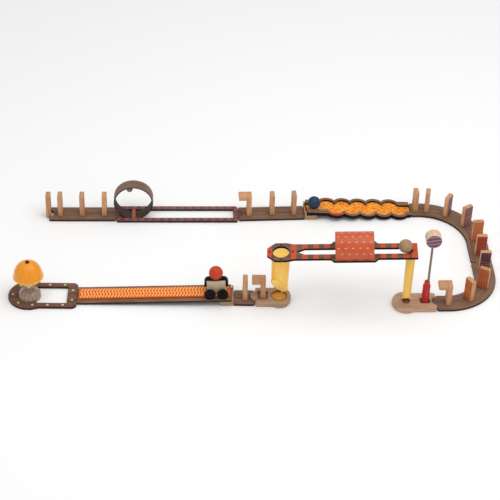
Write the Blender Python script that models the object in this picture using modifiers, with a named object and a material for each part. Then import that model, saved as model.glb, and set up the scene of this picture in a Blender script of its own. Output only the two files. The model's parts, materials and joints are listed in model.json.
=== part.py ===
"""Wooden chain reaction toy: dominoes, a weighted hoop, two balls, a hammer, a car and a bell.

The boards lie on a table in one long loop. A back row leads to the right, a curve leads to the front,
and a return row leads to the left. Each row has a frame of its own whose +X is the way the reaction
runs, so a piece that falls always falls towards +X of its row. Lengths are metres, +Z is up, and the
table is at Z = 0.
"""

import math

import bmesh
import bpy
from mathutils import Matrix, Vector

# Fits
SEAT_GAP = 0.0003
SOCKET_CLEAR = 0.00015
SHAFT_CLEAR = 0.00008
TAB_CLEAR = 0.0004
BOARD_GAP = 0.0015
SUPPORT_GAP = 0.0006
RAMP_END_GAP = 0.0006
CUP_CLEAR = 0.0006

# Layout of the rows
START_X = -0.4147
START_Y = 0.1346
ROW_TURN = math.radians(2.3)
RETURN_TURN = math.pi
RAIL_TURN = math.radians(-3.7)
LAST_TURN = math.radians(-1.25)

# Boards
BOARD_WIDTH = 0.042
BOARD_THICK = 0.005
BOARD_CORNER = 0.004
TAB_RADIUS = 0.013
TAB_OFFSET = -0.003
PLANK_1_LENGTH = 0.136
PLANK_2_LENGTH = 0.136
PLANK_3_LENGTH = 0.040

# Dominoes and hooks
DOMINO_HEIGHT = 0.048
DOMINO_WIDTH = 0.021
DOMINO_THICK = 0.0095
DOMINO_EDGE = 0.0007
HOOK_REACH = 0.017
HOOK_BLOCK = 0.009
START_BLOCK_SIDE = 0.0006
PLANK_1_SHARES = (0.165, 0.493, 0.828)
PLANK_2_SHARES = (0.162, 0.511, 0.842)
PLANK_3_STATION = 0.0185

# Loop frame and hoop
LOOP_LENGTH = 0.2485
LOOP_WIDTH = 0.050
SLOT_WIDTH = 0.029
SLOT_START = 0.014
SLOT_END_WALL = 0.0085
BAR_STATION = 0.035
BAR_WIDTH = 0.007
HOOP_RADIUS = 0.040
HOOP_WALL = 0.0025
HOOP_WIDTH = 0.026
HOOP_OPENING = 0.009
BEAD_RADIUS = 0.006
BEAD_LENGTH = 0.013
BEAD_SHOULDER = 0.0008
BEAD_LEAN = math.radians(16)
PEG_RADIUS = 0.002
PEG_PROUD = 0.0015

# Ramp supports
SUPPORT_LENGTH = 0.0255
SUPPORT_HEIGHT = 0.011
SUPPORT_WALL = 0.0035
PRONG_HEIGHT = 0.006
PRONG_GAP = 0.026
PRONG_SILL = 0.001

# Wavy ramp
WAVE_LENGTH = 0.217
WAVE_FLOOR = 0.0035
WAVE_WALL_HEIGHT = 0.004
WAVE_CREST = 0.007
WAVE_LOBE_DEPTH = 0.0135
WAVE_RIM_DEPTH = 0.008
WAVE_LOBES = 5
WAVE_FIRST_LOBE = 0.044
WAVE_TAIL = 0.041
WAVE_PERIOD = (WAVE_LENGTH - WAVE_FIRST_LOBE - WAVE_TAIL) / (WAVE_LOBES - 1)
WAVE_CHANNEL = 0.020
BLUE_BALL_RADIUS = 0.01325
BLUE_BALL_STATION = 0.015

# Curved track
CURVE_LEAD = 0.0103
REAR_RADIUS = 0.110
CURVE_STRAIGHT = 0.105
CURVE_SPLIT = 0.065
FRONT_RADIUS = 0.085
CURVE_TAIL = 0.0215
CURVE_STATIONS = (0.010, 0.0345, 0.079, 0.1285, 0.180, 0.2275, 0.279, 0.333, 0.3815)
CURVE_HOOK_STATION = 0.4255

# Bases of natural wood
BASE_THICK = 0.0105
BASE_WIDTH = 0.046
LOBE_RADIUS = 0.027
RIGHT_LOBE_REACH = 0.0265
LEFT_LOBE_REACH = 0.0228
RIGHT_BASE_LENGTH = 0.0585
LEFT_BASE_LENGTH = 0.046
BASE_EDGE = 0.0012

# Hammer
HAMMER_STATION = 0.0215
HANDLE_FOOT_RADIUS = 0.0074
HANDLE_TOP_RADIUS = 0.0054
HANDLE_SHOULDER = 0.0475
HANDLE_SHOULDER_SLOPE = 0.003
HANDLE_HEIGHT = 0.057
HANDLE_LIFT = 0.002
PIVOT_HEIGHT = 0.0045
HAMMER_PIN_RADIUS = 0.0015
HAMMER_PIN_LENGTH = 0.030
HAMMER_SLOT_LENGTH = 0.020
HAMMER_SLOT_WIDTH = 0.016
STICK_RADIUS = 0.00225
STICK_LENGTH = 0.110
STICK_SEAT = 0.010
STICK_OFFSET = -0.002
HEAD_RADIUS = 0.015
HEAD_WIDTH = 0.020
HEAD_SEAT = 0.012

# Rail, tunnel and tubes
TUBE_SPAN = 0.246
RAIL_THICK = 0.005
RAIL_WIDTH = 0.045
RAIL_SLOT = 0.018
RAIL_TAIL = 0.012
RAIL_LOW_END = 0.1135
RAIL_HIGH_END = 0.1295
RING_RADIUS = 0.0285
RING_HOLE = 0.0155
RING_HOLE_ACROSS = 0.0172
RING_TO_SLOT = 0.029
SLOT_BACK = 0.006
TAN_BALL_STATION = 0.011
SLOT_POINT = 0.016
RING_SHOULDER = 0.025
TUNNEL_STATION = 0.107
TUNNEL_LENGTH = 0.073
TUNNEL_RADIUS = 0.0265
TUNNEL_LEG = 0.011
TUNNEL_SHEET = 0.0015
TUNNEL_TAB_LENGTH = 0.078
TUNNEL_TAB_PROUD = 0.002
TUNNEL_TAB_SLOPE = 0.006
BIG_TUBE_RADIUS = 0.0182
BIG_TUBE_FOOT = 0.0155
BIG_TUBE_WALL = 0.0016
BIG_TUBE_SEAT = 0.003
MOUTH_HEIGHT = 0.050
MOUTH_TURN = math.radians(65)
SMALL_TUBE_RADIUS = 0.0091
SMALL_TUBE_FOOT = 0.0079
SMALL_TUBE_WALL = 0.0012
SMALL_TUBE_SEAT = 0.004
SMALL_MOUTH_HEIGHT = 0.015
SMALL_MOUTH_TURN = math.radians(95)
TAN_BALL_RADIUS = 0.01325

# Hook pocket in the left base
POCKET_LENGTH = 0.020
POCKET_WIDTH = 0.024
POCKET_LEAD = 0.0055
POCKET_STATION = 0.0315

# Herringbone ramp
RAMP_LENGTH = 0.2965
RAMP_WIDTH = 0.0475
RAMP_THICK = 0.005
STRIP_WIDTH = 0.029
STRIP_HEIGHT = 0.0035
STRIP_END = 0.002

# Car
CAR_STATION = 0.0285
CAR_LENGTH = 0.036
CAR_WIDTH = 0.020
CAR_BODY_HEIGHT = 0.0263
CAR_BELOW_AXLE = 0.004
CAR_PANEL = 0.005
CAR_LEDGE = 0.010
CAR_TOP_LENGTH = 0.046
CAR_SHOULDER = 0.010
CAR_EDGE = 0.0006
WHEEL_RADIUS = 0.0108
WHEEL_WIDTH = 0.006
WHEEL_EDGE = 0.0012
WHEEL_GAP = 0.0065
WHEELBASE = 0.0248
AXLE_RADIUS = 0.002
AXLE_PROUD = 0.0008
RIDER_RADIUS = 0.0136
RIDER_SEAT = 0.0006

# Bell plate, suction cup and bell
PLATE_LENGTH = 0.092
PLATE_WIDTH = 0.072
PLATE_LOBE = 0.041
PLATE_CORNER = 0.010
WINDOW_START = 0.019
WINDOW_WIDTH = 0.048
WINDOW_REACH = 0.0175
CUP_RADIUS = 0.022
PLATE_HOLE = CUP_RADIUS + CUP_CLEAR
CUP_RIM = 0.0022
CUP_HEIGHT = 0.020
CUP_NECK = 0.0055
CUP_WALL = 0.0024
STEM_RADIUS = 0.0055
STEM_FOOT = 0.0022
STEM_TAPER = 0.006
BELL_RADIUS = 0.0295
BELL_HEIGHT = 0.033
BELL_RIM_HEIGHT = 0.051
BELL_WALL = 0.0015
BELL_SHAPE = (
    (1.0, 0.0),
    (0.965, 0.06),
    (0.935, 0.19),
    (0.89, 0.37),
    (0.80, 0.57),
    (0.64, 0.77),
    (0.42, 0.925),
)
BELL_CROWN_MARGIN = 0.0008
SCREW_RADIUS = 0.0018
SCREW_HEAD = 0.0042
SCREW_HEAD_HEIGHT = 0.0018
SCREW_DEPTH = 0.008

# Finish: colour, roughness
FINISHES = {
    "beech": ((0.72, 0.52, 0.34), 0.55),
    "brown_board": ((0.14, 0.085, 0.055), 0.6),
    "printed_board": ((0.45, 0.12, 0.07), 0.5),
    "orange_board": ((0.80, 0.26, 0.04), 0.5),
    "red_paint": ((0.52, 0.06, 0.05), 0.35),
    "blue_stain": ((0.06, 0.10, 0.22), 0.45),
    "tan_stain": ((0.36, 0.25, 0.15), 0.5),
    "black_paint": ((0.012, 0.012, 0.016), 0.4),
    "yellow_plastic": ((0.90, 0.55, 0.06), 0.2),
    "clear_plastic": ((0.82, 0.80, 0.78), 0.15),
    "yellow_enamel": ((0.85, 0.38, 0.02), 0.25),
    "steel": ((0.55, 0.55, 0.56), 0.3),
}
METAL_FINISHES = ("steel",)

# Mesh fineness
ROUND_STEPS = 32
SMALL_ROUND_STEPS = 16
BALL_RINGS = 12
ARC_STEP = math.radians(9)
MERGE_DISTANCE = 0.000001
SMOOTH_ANGLE = math.radians(35)
CUT_MARGIN = 0.002


def clear_scene():
    """Remove every object that is already in the file."""
    for thing in list(bpy.data.objects):
        bpy.data.objects.remove(thing, do_unlink=True)


def new_collection(name):
    """Make a collection under the scene's own."""
    collection = bpy.data.collections.new(name)
    bpy.context.scene.collection.children.link(collection)
    return collection


clear_scene()
PARTS = new_collection("chain_reaction_toy")
CUTTERS = new_collection("cutters")


def finish(name, node):
    """Give a node its own Principled material in one of the finishes."""
    colour, roughness = FINISHES[name]
    material = bpy.data.materials.new(f"{node}_{name}")
    material.use_nodes = True
    shader = material.node_tree.nodes["Principled BSDF"]
    shader.inputs["Base Color"].default_value = (*colour, 1.0)
    shader.inputs["Roughness"].default_value = roughness
    shader.inputs["Metallic"].default_value = 1.0 if name in METAL_FINISHES else 0.0
    return material


def add_frame(name, parent=None, location=(0, 0, 0), rotation=(0, 0, 0)):
    """Add an empty that carries a row or a moving group."""
    frame = bpy.data.objects.new(name, None)
    PARTS.objects.link(frame)
    frame.parent = parent
    frame.location = location
    frame.rotation_euler = rotation
    return frame


def add_part(name, mesh, look, parent, location=(0, 0, 0), rotation=(0, 0, 0)):
    """Add one node with its material, smooth on its round faces."""
    part = bpy.data.objects.new(name, mesh)
    PARTS.objects.link(part)
    part.parent = parent
    part.location = location
    part.rotation_euler = rotation
    mesh.materials.clear()
    mesh.materials.append(finish(look, name))
    mesh.shade_smooth()
    mesh.set_sharp_from_angle(angle=SMOOTH_ANGLE)
    return part


def bevel(part, width):
    """Ease a node's sharp edges."""
    modifier = part.modifiers.new("eased_edges", "BEVEL")
    modifier.width = width
    modifier.segments = 1
    modifier.limit_method = "ANGLE"


def cut(part, mesh, location=(0, 0, 0), rotation=(0, 0, 0), mode="DIFFERENCE"):
    """Cut a mesh out of a node, or join it on. The place is in the node's own frame."""
    cutter = bpy.data.objects.new(f"{part.name}_cutter", mesh)
    CUTTERS.objects.link(cutter)
    cutter.parent = part
    cutter.location = location
    cutter.rotation_euler = rotation
    cutter.hide_render = True
    cutter.display_type = "WIRE"
    modifier = part.modifiers.new("cut", "BOOLEAN")
    modifier.operation = mode
    modifier.solver = "EXACT"
    modifier.object = cutter


def mesh_from(work, name):
    """Turn a work mesh into a node's mesh, with its faces pointing out."""
    bmesh.ops.remove_doubles(work, verts=work.verts, dist=MERGE_DISTANCE)
    bmesh.ops.recalc_face_normals(work, faces=work.faces)
    mesh = bpy.data.meshes.new(name)
    work.to_mesh(mesh)
    work.free()
    return mesh


def evaluated_mesh(thing, name):
    """Read a helper object as a plain welded mesh, then drop the helper."""
    bpy.context.scene.collection.objects.link(thing)
    graph = bpy.context.evaluated_depsgraph_get()
    raw = bpy.data.meshes.new_from_object(thing.evaluated_get(graph))
    work = bmesh.new()
    work.from_mesh(raw)
    bpy.data.objects.remove(thing, do_unlink=True)
    bpy.data.meshes.remove(raw)
    return mesh_from(work, name)


def box_mesh(name, size, centre=(0, 0, 0)):
    """Make a box of the given size."""
    work = bmesh.new()
    bmesh.ops.create_cube(work, size=1.0)
    bmesh.ops.scale(work, vec=size, verts=work.verts)
    bmesh.ops.translate(work, vec=centre, verts=work.verts)
    return mesh_from(work, name)


def rod_mesh(name, radius, length, steps=SMALL_ROUND_STEPS, top_radius=None):
    """Make a rod or cone along +Z, standing on Z = 0."""
    work = bmesh.new()
    end_radius = radius if top_radius is None else top_radius
    bmesh.ops.create_cone(
        work, cap_ends=True, segments=steps, radius1=radius, radius2=end_radius, depth=length
    )
    bmesh.ops.translate(work, vec=(0, 0, length / 2), verts=work.verts)
    return mesh_from(work, name)


def ball_mesh(name, radius):
    """Make a ball about its own centre."""
    work = bmesh.new()
    bmesh.ops.create_uvsphere(work, u_segments=2 * BALL_RINGS, v_segments=BALL_RINGS, radius=radius)
    return mesh_from(work, name)


def flat_mesh(name, loops, thick):
    """Extrude an outline with holes from Z = 0 up to its thickness."""
    curve = bpy.data.curves.new(name, "CURVE")
    curve.dimensions = "2D"
    curve.fill_mode = "BOTH"
    curve.extrude = thick / 2
    for loop in loops:
        spline = curve.splines.new("POLY")
        spline.points.add(len(loop) - 1)
        spline.use_cyclic_u = True
        for point, (x, y) in zip(spline.points, loop):
            point.co = (x, y, 0, 1)
    mesh = evaluated_mesh(bpy.data.objects.new(name, curve), name)
    mesh.transform(Matrix.Translation((0, 0, thick / 2)))
    return mesh


def upright_mesh(name, loops, width):
    """Extrude an outline in X and Z across a width that is centred on Y = 0."""
    mesh = flat_mesh(name, loops, width)
    mesh.transform(Matrix.Translation((0, width / 2, 0)) @ Matrix.Rotation(math.pi / 2, 4, "X"))
    return mesh


def turned_mesh(name, profile, closed=False, steps=ROUND_STEPS):
    """Turn a profile of radius and height about Z."""
    mesh = bpy.data.meshes.new(name)
    edges = [(i, i + 1) for i in range(len(profile) - 1)]
    if closed:
        edges.append((len(profile) - 1, 0))
    mesh.from_pydata([(r, 0, z) for r, z in profile], edges, [])
    helper = bpy.data.objects.new(name, mesh)
    screw = helper.modifiers.new("turned", "SCREW")
    screw.steps = steps
    screw.render_steps = steps
    screw.use_merge_vertices = True
    screw.merge_threshold = MERGE_DISTANCE
    return evaluated_mesh(helper, name)


def arc(centre, radius, start, end, step=ARC_STEP):
    """Points along an arc, both ends included."""
    count = max(2, math.ceil(abs(end - start) / step))
    turns = [start + (end - start) * i / count for i in range(count + 1)]
    return [(centre[0] + radius * math.cos(a), centre[1] + radius * math.sin(a)) for a in turns]


def rectangle(x0, x1, half):
    """A plain rectangle about the row's centre line."""
    return [(x0, -half), (x1, -half), (x1, half), (x0, half)]


def end_profile(kind, half, corner):
    """A board's end from its left side to its right side, with u pointing out of the board."""
    points = arc((-corner, half - corner), corner, math.pi / 2, 0, math.radians(30))
    if kind == "tab":
        neck = math.sqrt(TAB_RADIUS**2 - TAB_OFFSET**2)
        turn = math.atan2(neck, -TAB_OFFSET)
        points += arc((TAB_OFFSET, 0), TAB_RADIUS, turn, -turn, 2 * ARC_STEP)
    if kind == "notch":
        radius = TAB_RADIUS + TAB_CLEAR
        depth = TAB_OFFSET - BOARD_GAP
        turn = math.atan2(math.sqrt(radius**2 - depth**2), depth)
        points += arc((-depth, 0), radius, turn, 2 * math.pi - turn, 2 * ARC_STEP)
    points += arc((-corner, corner - half), corner, 0, -math.pi / 2, math.radians(30))
    return points


def straight(distance):
    """The centre line of a straight board: place and heading at a distance."""
    return distance, 0.0, 0.0


def beside(place, out, side):
    """A point at a place on a centre line, so far along its heading and so far to its left."""
    x, y, heading = place
    ahead = (math.cos(heading), math.sin(heading))
    return x + ahead[0] * out - ahead[1] * side, y + ahead[1] * out + ahead[0] * side


def strip_outline(line, stations, width, near, far, corner=BOARD_CORNER):
    """Outline of a board that follows a centre line through its stations, with its two end shapes."""
    half = width / 2
    right = [beside(line(s), 0, -half) for s in stations[1:-1]]
    left = [beside(line(s), 0, half) for s in reversed(stations[1:-1])]
    start, stop = line(stations[0]), line(stations[-1])
    far_end = [beside(stop, u, v) for u, v in reversed(end_profile(far, half, corner))]
    near_end = [beside(start, -u, -v) for u, v in reversed(end_profile(near, half, corner))]
    return right + far_end + left + near_end


def board(name, parent, start, length, near, far, width=BOARD_WIDTH, holes=(), look="brown_board"):
    """Add a straight board that lies on the table from a start along its row."""
    outline = strip_outline(straight, (0.0, length), width, near, far)
    mesh = flat_mesh(name, [outline, *holes], BOARD_THICK)
    return add_part(name, mesh, look, parent, (start, 0, 0))


def domino(name, parent, station, height=DOMINO_HEIGHT, foot=BOARD_THICK + SEAT_GAP, place=None):
    """Stand a domino with its origin on the lower edge that it falls over."""
    x, y, heading = place or straight(station)
    size = (DOMINO_THICK, DOMINO_WIDTH, height)
    mesh = box_mesh(name, size, (-DOMINO_THICK / 2, 0, height / 2))
    edge = beside((x, y, heading), DOMINO_THICK / 2, 0)
    part = add_part(name, mesh, "beech", parent, (*edge, foot), (0, 0, heading))
    bevel(part, DOMINO_EDGE)
    return part


def hook(name, parent, station, forward, foot=BOARD_THICK + SEAT_GAP, place=None):
    """Stand a domino that has a block glued to its top, ahead of it or behind it."""
    x, y, heading = place or straight(station)
    under = DOMINO_HEIGHT - HOOK_BLOCK
    back = -DOMINO_THICK
    ahead = [(back, 0), (0, 0), (0, under), (HOOK_REACH, under), (HOOK_REACH, DOMINO_HEIGHT)]
    behind = [(0, 0), (0, DOMINO_HEIGHT), (back - HOOK_REACH, DOMINO_HEIGHT), (back - HOOK_REACH, under)]
    if forward:
        outline = ahead + [(back, DOMINO_HEIGHT)]
    else:
        outline = behind + [(back, under), (back, 0)]
    edge = beside((x, y, heading), DOMINO_THICK / 2, 0)
    mesh = upright_mesh(name, [outline], DOMINO_WIDTH)
    part = add_part(name, mesh, "beech", parent, (*edge, foot), (0, 0, heading))
    bevel(part, DOMINO_EDGE)
    return part


def build_start_row():
    """Plank with the first dominoes, and the frame that the hoop rolls in."""
    row = add_frame("start_row", None, (START_X, START_Y, 0))
    board("plank_1", row, 0, PLANK_1_LENGTH, "notch", "tab")
    block_height = DOMINO_HEIGHT + BOARD_THICK
    block_size = (DOMINO_THICK, DOMINO_WIDTH, block_height)
    block_centre = (-DOMINO_THICK / 2, 0, block_height / 2 - BOARD_THICK)
    notch_radius = TAB_RADIUS + TAB_CLEAR
    notch_reach = math.sqrt(notch_radius**2 - (DOMINO_WIDTH / 2) ** 2) + TAB_OFFSET - BOARD_GAP
    block = add_part(
        "start_block",
        box_mesh("start_block", block_size, block_centre),
        "beech",
        row,
        (notch_reach - START_BLOCK_SIDE, 0, BOARD_THICK),
    )
    bevel(block, DOMINO_EDGE)
    for number, share in enumerate(PLANK_1_SHARES, 2):
        domino(f"domino_{number:02d}", row, PLANK_1_LENGTH * share)
    build_loop(row, PLANK_1_LENGTH + BOARD_GAP)
    turn_at = PLANK_1_LENGTH + LOOP_LENGTH + BOARD_GAP + TAB_OFFSET
    return add_frame("swung_row", row, (turn_at, 0, 0), (0, 0, ROW_TURN))


def build_loop(row, start):
    """Slotted frame, with the open hoop standing over its crossbar."""
    half = SLOT_WIDTH / 2
    bar = (BAR_STATION - BAR_WIDTH / 2, BAR_STATION + BAR_WIDTH / 2)
    holes = [
        rectangle(SLOT_START, bar[0], half),
        rectangle(bar[1], LOOP_LENGTH - SLOT_END_WALL, half),
    ]
    board("loop_frame", row, start, LOOP_LENGTH, "notch", "tab", LOOP_WIDTH, holes, "printed_board")

    gap_turn = math.asin(HOOP_OPENING / 2 / HOOP_RADIUS)
    first, last = gap_turn - math.pi / 2, 1.5 * math.pi - gap_turn
    edge = (HOOP_OPENING / 2, HOOP_RADIUS * math.cos(gap_turn))
    centre = (-edge[0], edge[1])
    outline = arc(centre, HOOP_RADIUS, first, last)
    outline += arc(centre, HOOP_RADIUS - HOOP_WALL, last, first)
    pivot = (start + BAR_STATION + edge[0], 0, SEAT_GAP)
    frame = add_frame("hoop_pivot", row, pivot)
    hoop = add_part("hoop", upright_mesh("hoop", [outline], HOOP_WIDTH), "brown_board", frame)

    lean = (0, -BEAD_LEAN, 0)
    up = Vector((-math.sin(BEAD_LEAN), 0, math.cos(BEAD_LEAN)))
    bead_top = HOOP_RADIUS - HOOP_WALL - BEAD_SHOULDER
    weight_foot = Vector((centre[0], 0, centre[1])) + up * (bead_top - BEAD_LENGTH)
    bore = rod_mesh("peg_bore", PEG_RADIUS + SOCKET_CLEAR, BEAD_LENGTH + HOOP_RADIUS - bead_top)
    cut(hoop, bore, weight_foot + up * BEAD_LENGTH / 2, lean)
    peg_top = BEAD_LENGTH + HOOP_RADIUS + PEG_PROUD - bead_top
    profile = [
        (0, peg_top),
        (PEG_RADIUS, peg_top),
        (PEG_RADIUS, BEAD_LENGTH),
        (BEAD_RADIUS * 0.8, BEAD_LENGTH),
        (BEAD_RADIUS, BEAD_LENGTH * 0.75),
        (BEAD_RADIUS, BEAD_LENGTH * 0.25),
        (BEAD_RADIUS * 0.8, 0),
        (0, 0),
    ]
    weight = turned_mesh("hoop_weight", profile, False, SMALL_ROUND_STEPS)
    add_part("hoop_weight", weight, "beech", frame, weight_foot, lean)


def support(name, parent, start):
    """Add a wooden block that lifts a ramp's end, with two prongs at the side of the fall."""
    high = SUPPORT_HEIGHT + PRONG_HEIGHT
    outline = [
        (0, 0),
        (SUPPORT_LENGTH, 0),
        (SUPPORT_LENGTH, SUPPORT_HEIGHT),
        (SUPPORT_WALL, SUPPORT_HEIGHT),
        (SUPPORT_WALL, high),
        (0, high),
    ]
    part = add_part(name, upright_mesh(name, [outline], BOARD_WIDTH), "beech", parent, (start, 0, 0))
    depth = PRONG_HEIGHT - PRONG_SILL + CUT_MARGIN
    size = (SUPPORT_WALL + 2 * CUT_MARGIN, PRONG_GAP, depth)
    centre = (SUPPORT_WALL / 2, 0, SUPPORT_HEIGHT + PRONG_SILL + depth / 2)
    cut(part, box_mesh("prong_gap", size, centre))
    return part


def ramp_frame(name, parent, start, length):
    """Frame of a sloping ramp: at its low end, tilted until it clears the support at its high end."""
    reach = length - SUPPORT_LENGTH + SUPPORT_WALL + SUPPORT_GAP
    tilt = math.asin((SUPPORT_HEIGHT + SEAT_GAP) / reach)
    return add_frame(name, parent, (start + length * math.cos(tilt), 0, 0), (0, tilt, 0))


def beyond_ramp(frame, thick):
    """Where the next board starts: a gap past the ramp's low end, whose top leans out over its foot."""
    return frame.location.x + thick * math.sin(frame.rotation_euler.y) + RAMP_END_GAP


def lobed_edge(first, side, depth):
    """One wavy edge of a wall, from the ramp's high end to its low end, with lobes that deep beyond its side."""
    half = WAVE_PERIOD / 2
    radius = (half**2 + depth**2) / (2 * depth)
    rise = math.asin(half / radius)
    points = [(0, side)]
    for lobe in range(WAVE_LOBES):
        centre = (first + lobe * WAVE_PERIOD, side + depth - radius)
        points += arc(centre, radius, math.pi / 2 + rise, math.pi / 2 - rise, 2 * ARC_STEP)
    points.append((WAVE_LENGTH, side))
    return [(x - WAVE_LENGTH, y) for x, y in points]


def mirrored(points):
    """Turn an edge over to the other side of the centre line."""
    return [(x, -y) for x, y in points]


def build_wave(row, start):
    """Sloping ramp whose floor lies under two lobed walls, with the blue ball at its top."""
    frame = ramp_frame("wave_ramp", row, start, WAVE_LENGTH)
    inner = WAVE_CHANNEL / 2
    later = WAVE_FIRST_LOBE + WAVE_PERIOD / 2
    outer = inner + WAVE_LOBE_DEPTH + WAVE_CREST - WAVE_RIM_DEPTH
    sides = ((inner, WAVE_LOBE_DEPTH), (outer, WAVE_RIM_DEPTH))
    rear_in, rear_out = (lobed_edge(WAVE_FIRST_LOBE, side, depth) for side, depth in sides)
    front_in, front_out = (mirrored(lobed_edge(later, side, depth)) for side, depth in sides)
    floor = flat_mesh("wave_floor", [front_out + rear_out[::-1]], WAVE_FLOOR)
    add_part("wave_floor", floor, "orange_board", frame)
    walls = {"wave_rear_wall": (rear_in, rear_out), "wave_front_wall": (front_out, front_in)}
    for name, (near_edge, far_edge) in walls.items():
        wall = flat_mesh(name, [near_edge + far_edge[::-1]], WAVE_WALL_HEIGHT)
        add_part(name, wall, "brown_board", frame, (0, 0, WAVE_FLOOR + SEAT_GAP))
    ball_at = (BLUE_BALL_STATION - WAVE_LENGTH, 0, WAVE_FLOOR + SEAT_GAP + BLUE_BALL_RADIUS)
    add_part("blue_ball", ball_mesh("blue_ball", BLUE_BALL_RADIUS), "blue_stain", frame, ball_at)
    return beyond_ramp(frame, WAVE_FLOOR + SEAT_GAP + WAVE_WALL_HEIGHT)


def build_swung_row(row):
    """Second plank with its hook and dominoes, then the support and the wavy ramp."""
    start = BOARD_GAP - TAB_OFFSET
    board("plank_2", row, start, PLANK_2_LENGTH, "notch", "plain")
    hook("hook_1", row, start + PLANK_2_LENGTH * PLANK_2_SHARES[0], False)
    for number, share in enumerate(PLANK_2_SHARES[1:], 5):
        domino(f"domino_{number:02d}", row, start + PLANK_2_LENGTH * share)
    support_start = start + PLANK_2_LENGTH + SUPPORT_GAP
    support("wave_support", row, support_start)
    curve_start = build_wave(row, support_start + SUPPORT_WALL + SUPPORT_GAP)
    return add_frame("curve", row, (curve_start, 0, 0))


REAR_SWEEP = math.pi / 2 + ROW_TURN
FRONT_SWEEP = math.pi / 2
CURVE_LEGS = (
    (CURVE_LEAD, 0.0),
    (REAR_RADIUS * REAR_SWEEP, REAR_SWEEP),
    (CURVE_STRAIGHT, 0.0),
    (FRONT_RADIUS * FRONT_SWEEP, FRONT_SWEEP),
    (CURVE_TAIL, 0.0),
)


def curve_line(distance):
    """Place and heading on the curved track's centre line, which turns to the right."""
    x, y, heading = 0.0, 0.0, 0.0
    for length, sweep in CURVE_LEGS:
        run = min(distance, length)
        turn = sweep * run / length
        if sweep:
            radius = length / sweep
            x += radius * (math.sin(heading) - math.sin(heading - turn))
            y += radius * (math.cos(heading - turn) - math.cos(heading))
        else:
            x += run * math.cos(heading)
            y += run * math.sin(heading)
        heading -= turn
        distance -= run
        if distance <= 0:
            break
    return x, y, heading


def curve_marks(start, stop):
    """Distances along the track between two ends, close together on the bends."""
    marks = [start]
    travelled = 0.0
    for length, sweep in CURVE_LEGS:
        count = max(1, round(sweep / ARC_STEP))
        marks += [travelled + length * i / count for i in range(count + 1)]
        travelled += length
    inside = sorted({round(m, 6) for m in marks if start + BOARD_CORNER < m < stop - BOARD_CORNER})
    return [start, *inside, stop]


def build_curve(frame):
    """Two curved boards with their dominoes and the hook that strikes the hammer."""
    total = sum(length for length, _ in CURVE_LEGS)
    split = CURVE_LEGS[0][0] + CURVE_LEGS[1][0] + CURVE_SPLIT
    pieces = {
        "rear_curve": (0.0, split, "plain", "tab"),
        "front_curve": (split + BOARD_GAP, total, "notch", "tab"),
    }
    for name, (first, last, near, far) in pieces.items():
        outline = strip_outline(curve_line, curve_marks(first, last), BOARD_WIDTH, near, far)
        add_part(name, flat_mesh(name, [outline], BOARD_THICK), "brown_board", frame)
    for number, station in enumerate(CURVE_STATIONS, 7):
        domino(f"domino_{number:02d}", frame, station, place=curve_line(station))
    hook("hook_2", frame, 0, True, place=curve_line(CURVE_HOOK_STATION))
    x, y, _ = curve_line(total)
    return add_frame("return_row", frame, (x, y, 0), (0, 0, RETURN_TURN - ROW_TURN))


def base_outline(length, lobe_first, end, reach):
    """A wooden base: a round lobe at one side and a square end with a tab or notch at the other.

    The lobe's centre is the origin, the square end lies a length away from it, and the lobe reaches
    that far to the other side.
    """
    half = BASE_WIDTH / 2
    waist = math.asin(half / LOBE_RADIUS)
    lobe = [(x * reach / LOBE_RADIUS, y) for x, y in arc((0, 0), LOBE_RADIUS, waist, 2 * math.pi - waist)]
    stop = end_profile(end, half, BOARD_CORNER)
    square = [(length + u, v) for u, v in reversed(stop)]
    outline = lobe + square
    return outline if lobe_first else [(-x, -y) for x, y in outline]


def tapered_tube(name, top, foot, wall, length, steps=ROUND_STEPS):
    """A tube that narrows towards its foot."""
    profile = [(top, length), (foot, 0), (foot - wall, 0), (top - wall, length)]
    return turned_mesh(name, profile, True, steps)


def cut_mouth(tube, top, inner, seat, height, turn):
    """Cut a slanted mouth that opens to one side, from the seat up to a height."""
    far = top + CUT_MARGIN
    rise = (height - seat) * (far + inner) / (2 * inner)
    wedge = [(-inner, seat), (far, seat), (far, seat + rise)]
    cut(tube, upright_mesh("tube_mouth", [wedge], 2 * far), (0, 0, 0), (0, 0, turn))


def build_right_base(row):
    """Right base with the small tube and the hammer that swings on a pin in a slot."""
    centre = BOARD_GAP + RIGHT_BASE_LENGTH
    frame = add_frame("right_base_place", row, (centre, 0, 0))
    outline = base_outline(RIGHT_BASE_LENGTH, False, "notch", RIGHT_LOBE_REACH)
    base = add_part("right_base", flat_mesh("right_base", [outline], BASE_THICK), "beech", frame)
    bevel(base, BASE_EDGE)
    socket_floor = BASE_THICK - SMALL_TUBE_SEAT
    socket = rod_mesh("tube_socket", SMALL_TUBE_FOOT + 2 * SOCKET_CLEAR, BASE_THICK, ROUND_STEPS)
    cut(base, socket, (0, 0, socket_floor))
    tube_length = RAIL_HIGH_END - SEAT_GAP - socket_floor - SEAT_GAP
    tube_length -= SMALL_TUBE_RADIUS * math.sin(RAIL_TILT)
    steps = SMALL_ROUND_STEPS + BALL_RINGS // 2
    tube = tapered_tube("small_tube", SMALL_TUBE_RADIUS, SMALL_TUBE_FOOT, SMALL_TUBE_WALL, tube_length, steps)
    part = add_part("small_tube", tube, "yellow_plastic", frame, (0, 0, socket_floor + SEAT_GAP))
    inner = SMALL_TUBE_FOOT - SMALL_TUBE_WALL
    cut_mouth(part, SMALL_TUBE_RADIUS, inner, SMALL_TUBE_SEAT, SMALL_MOUTH_HEIGHT, SMALL_MOUTH_TURN)
    build_hammer(base, frame, HAMMER_STATION - RIGHT_BASE_LENGTH)
    return frame


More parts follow.
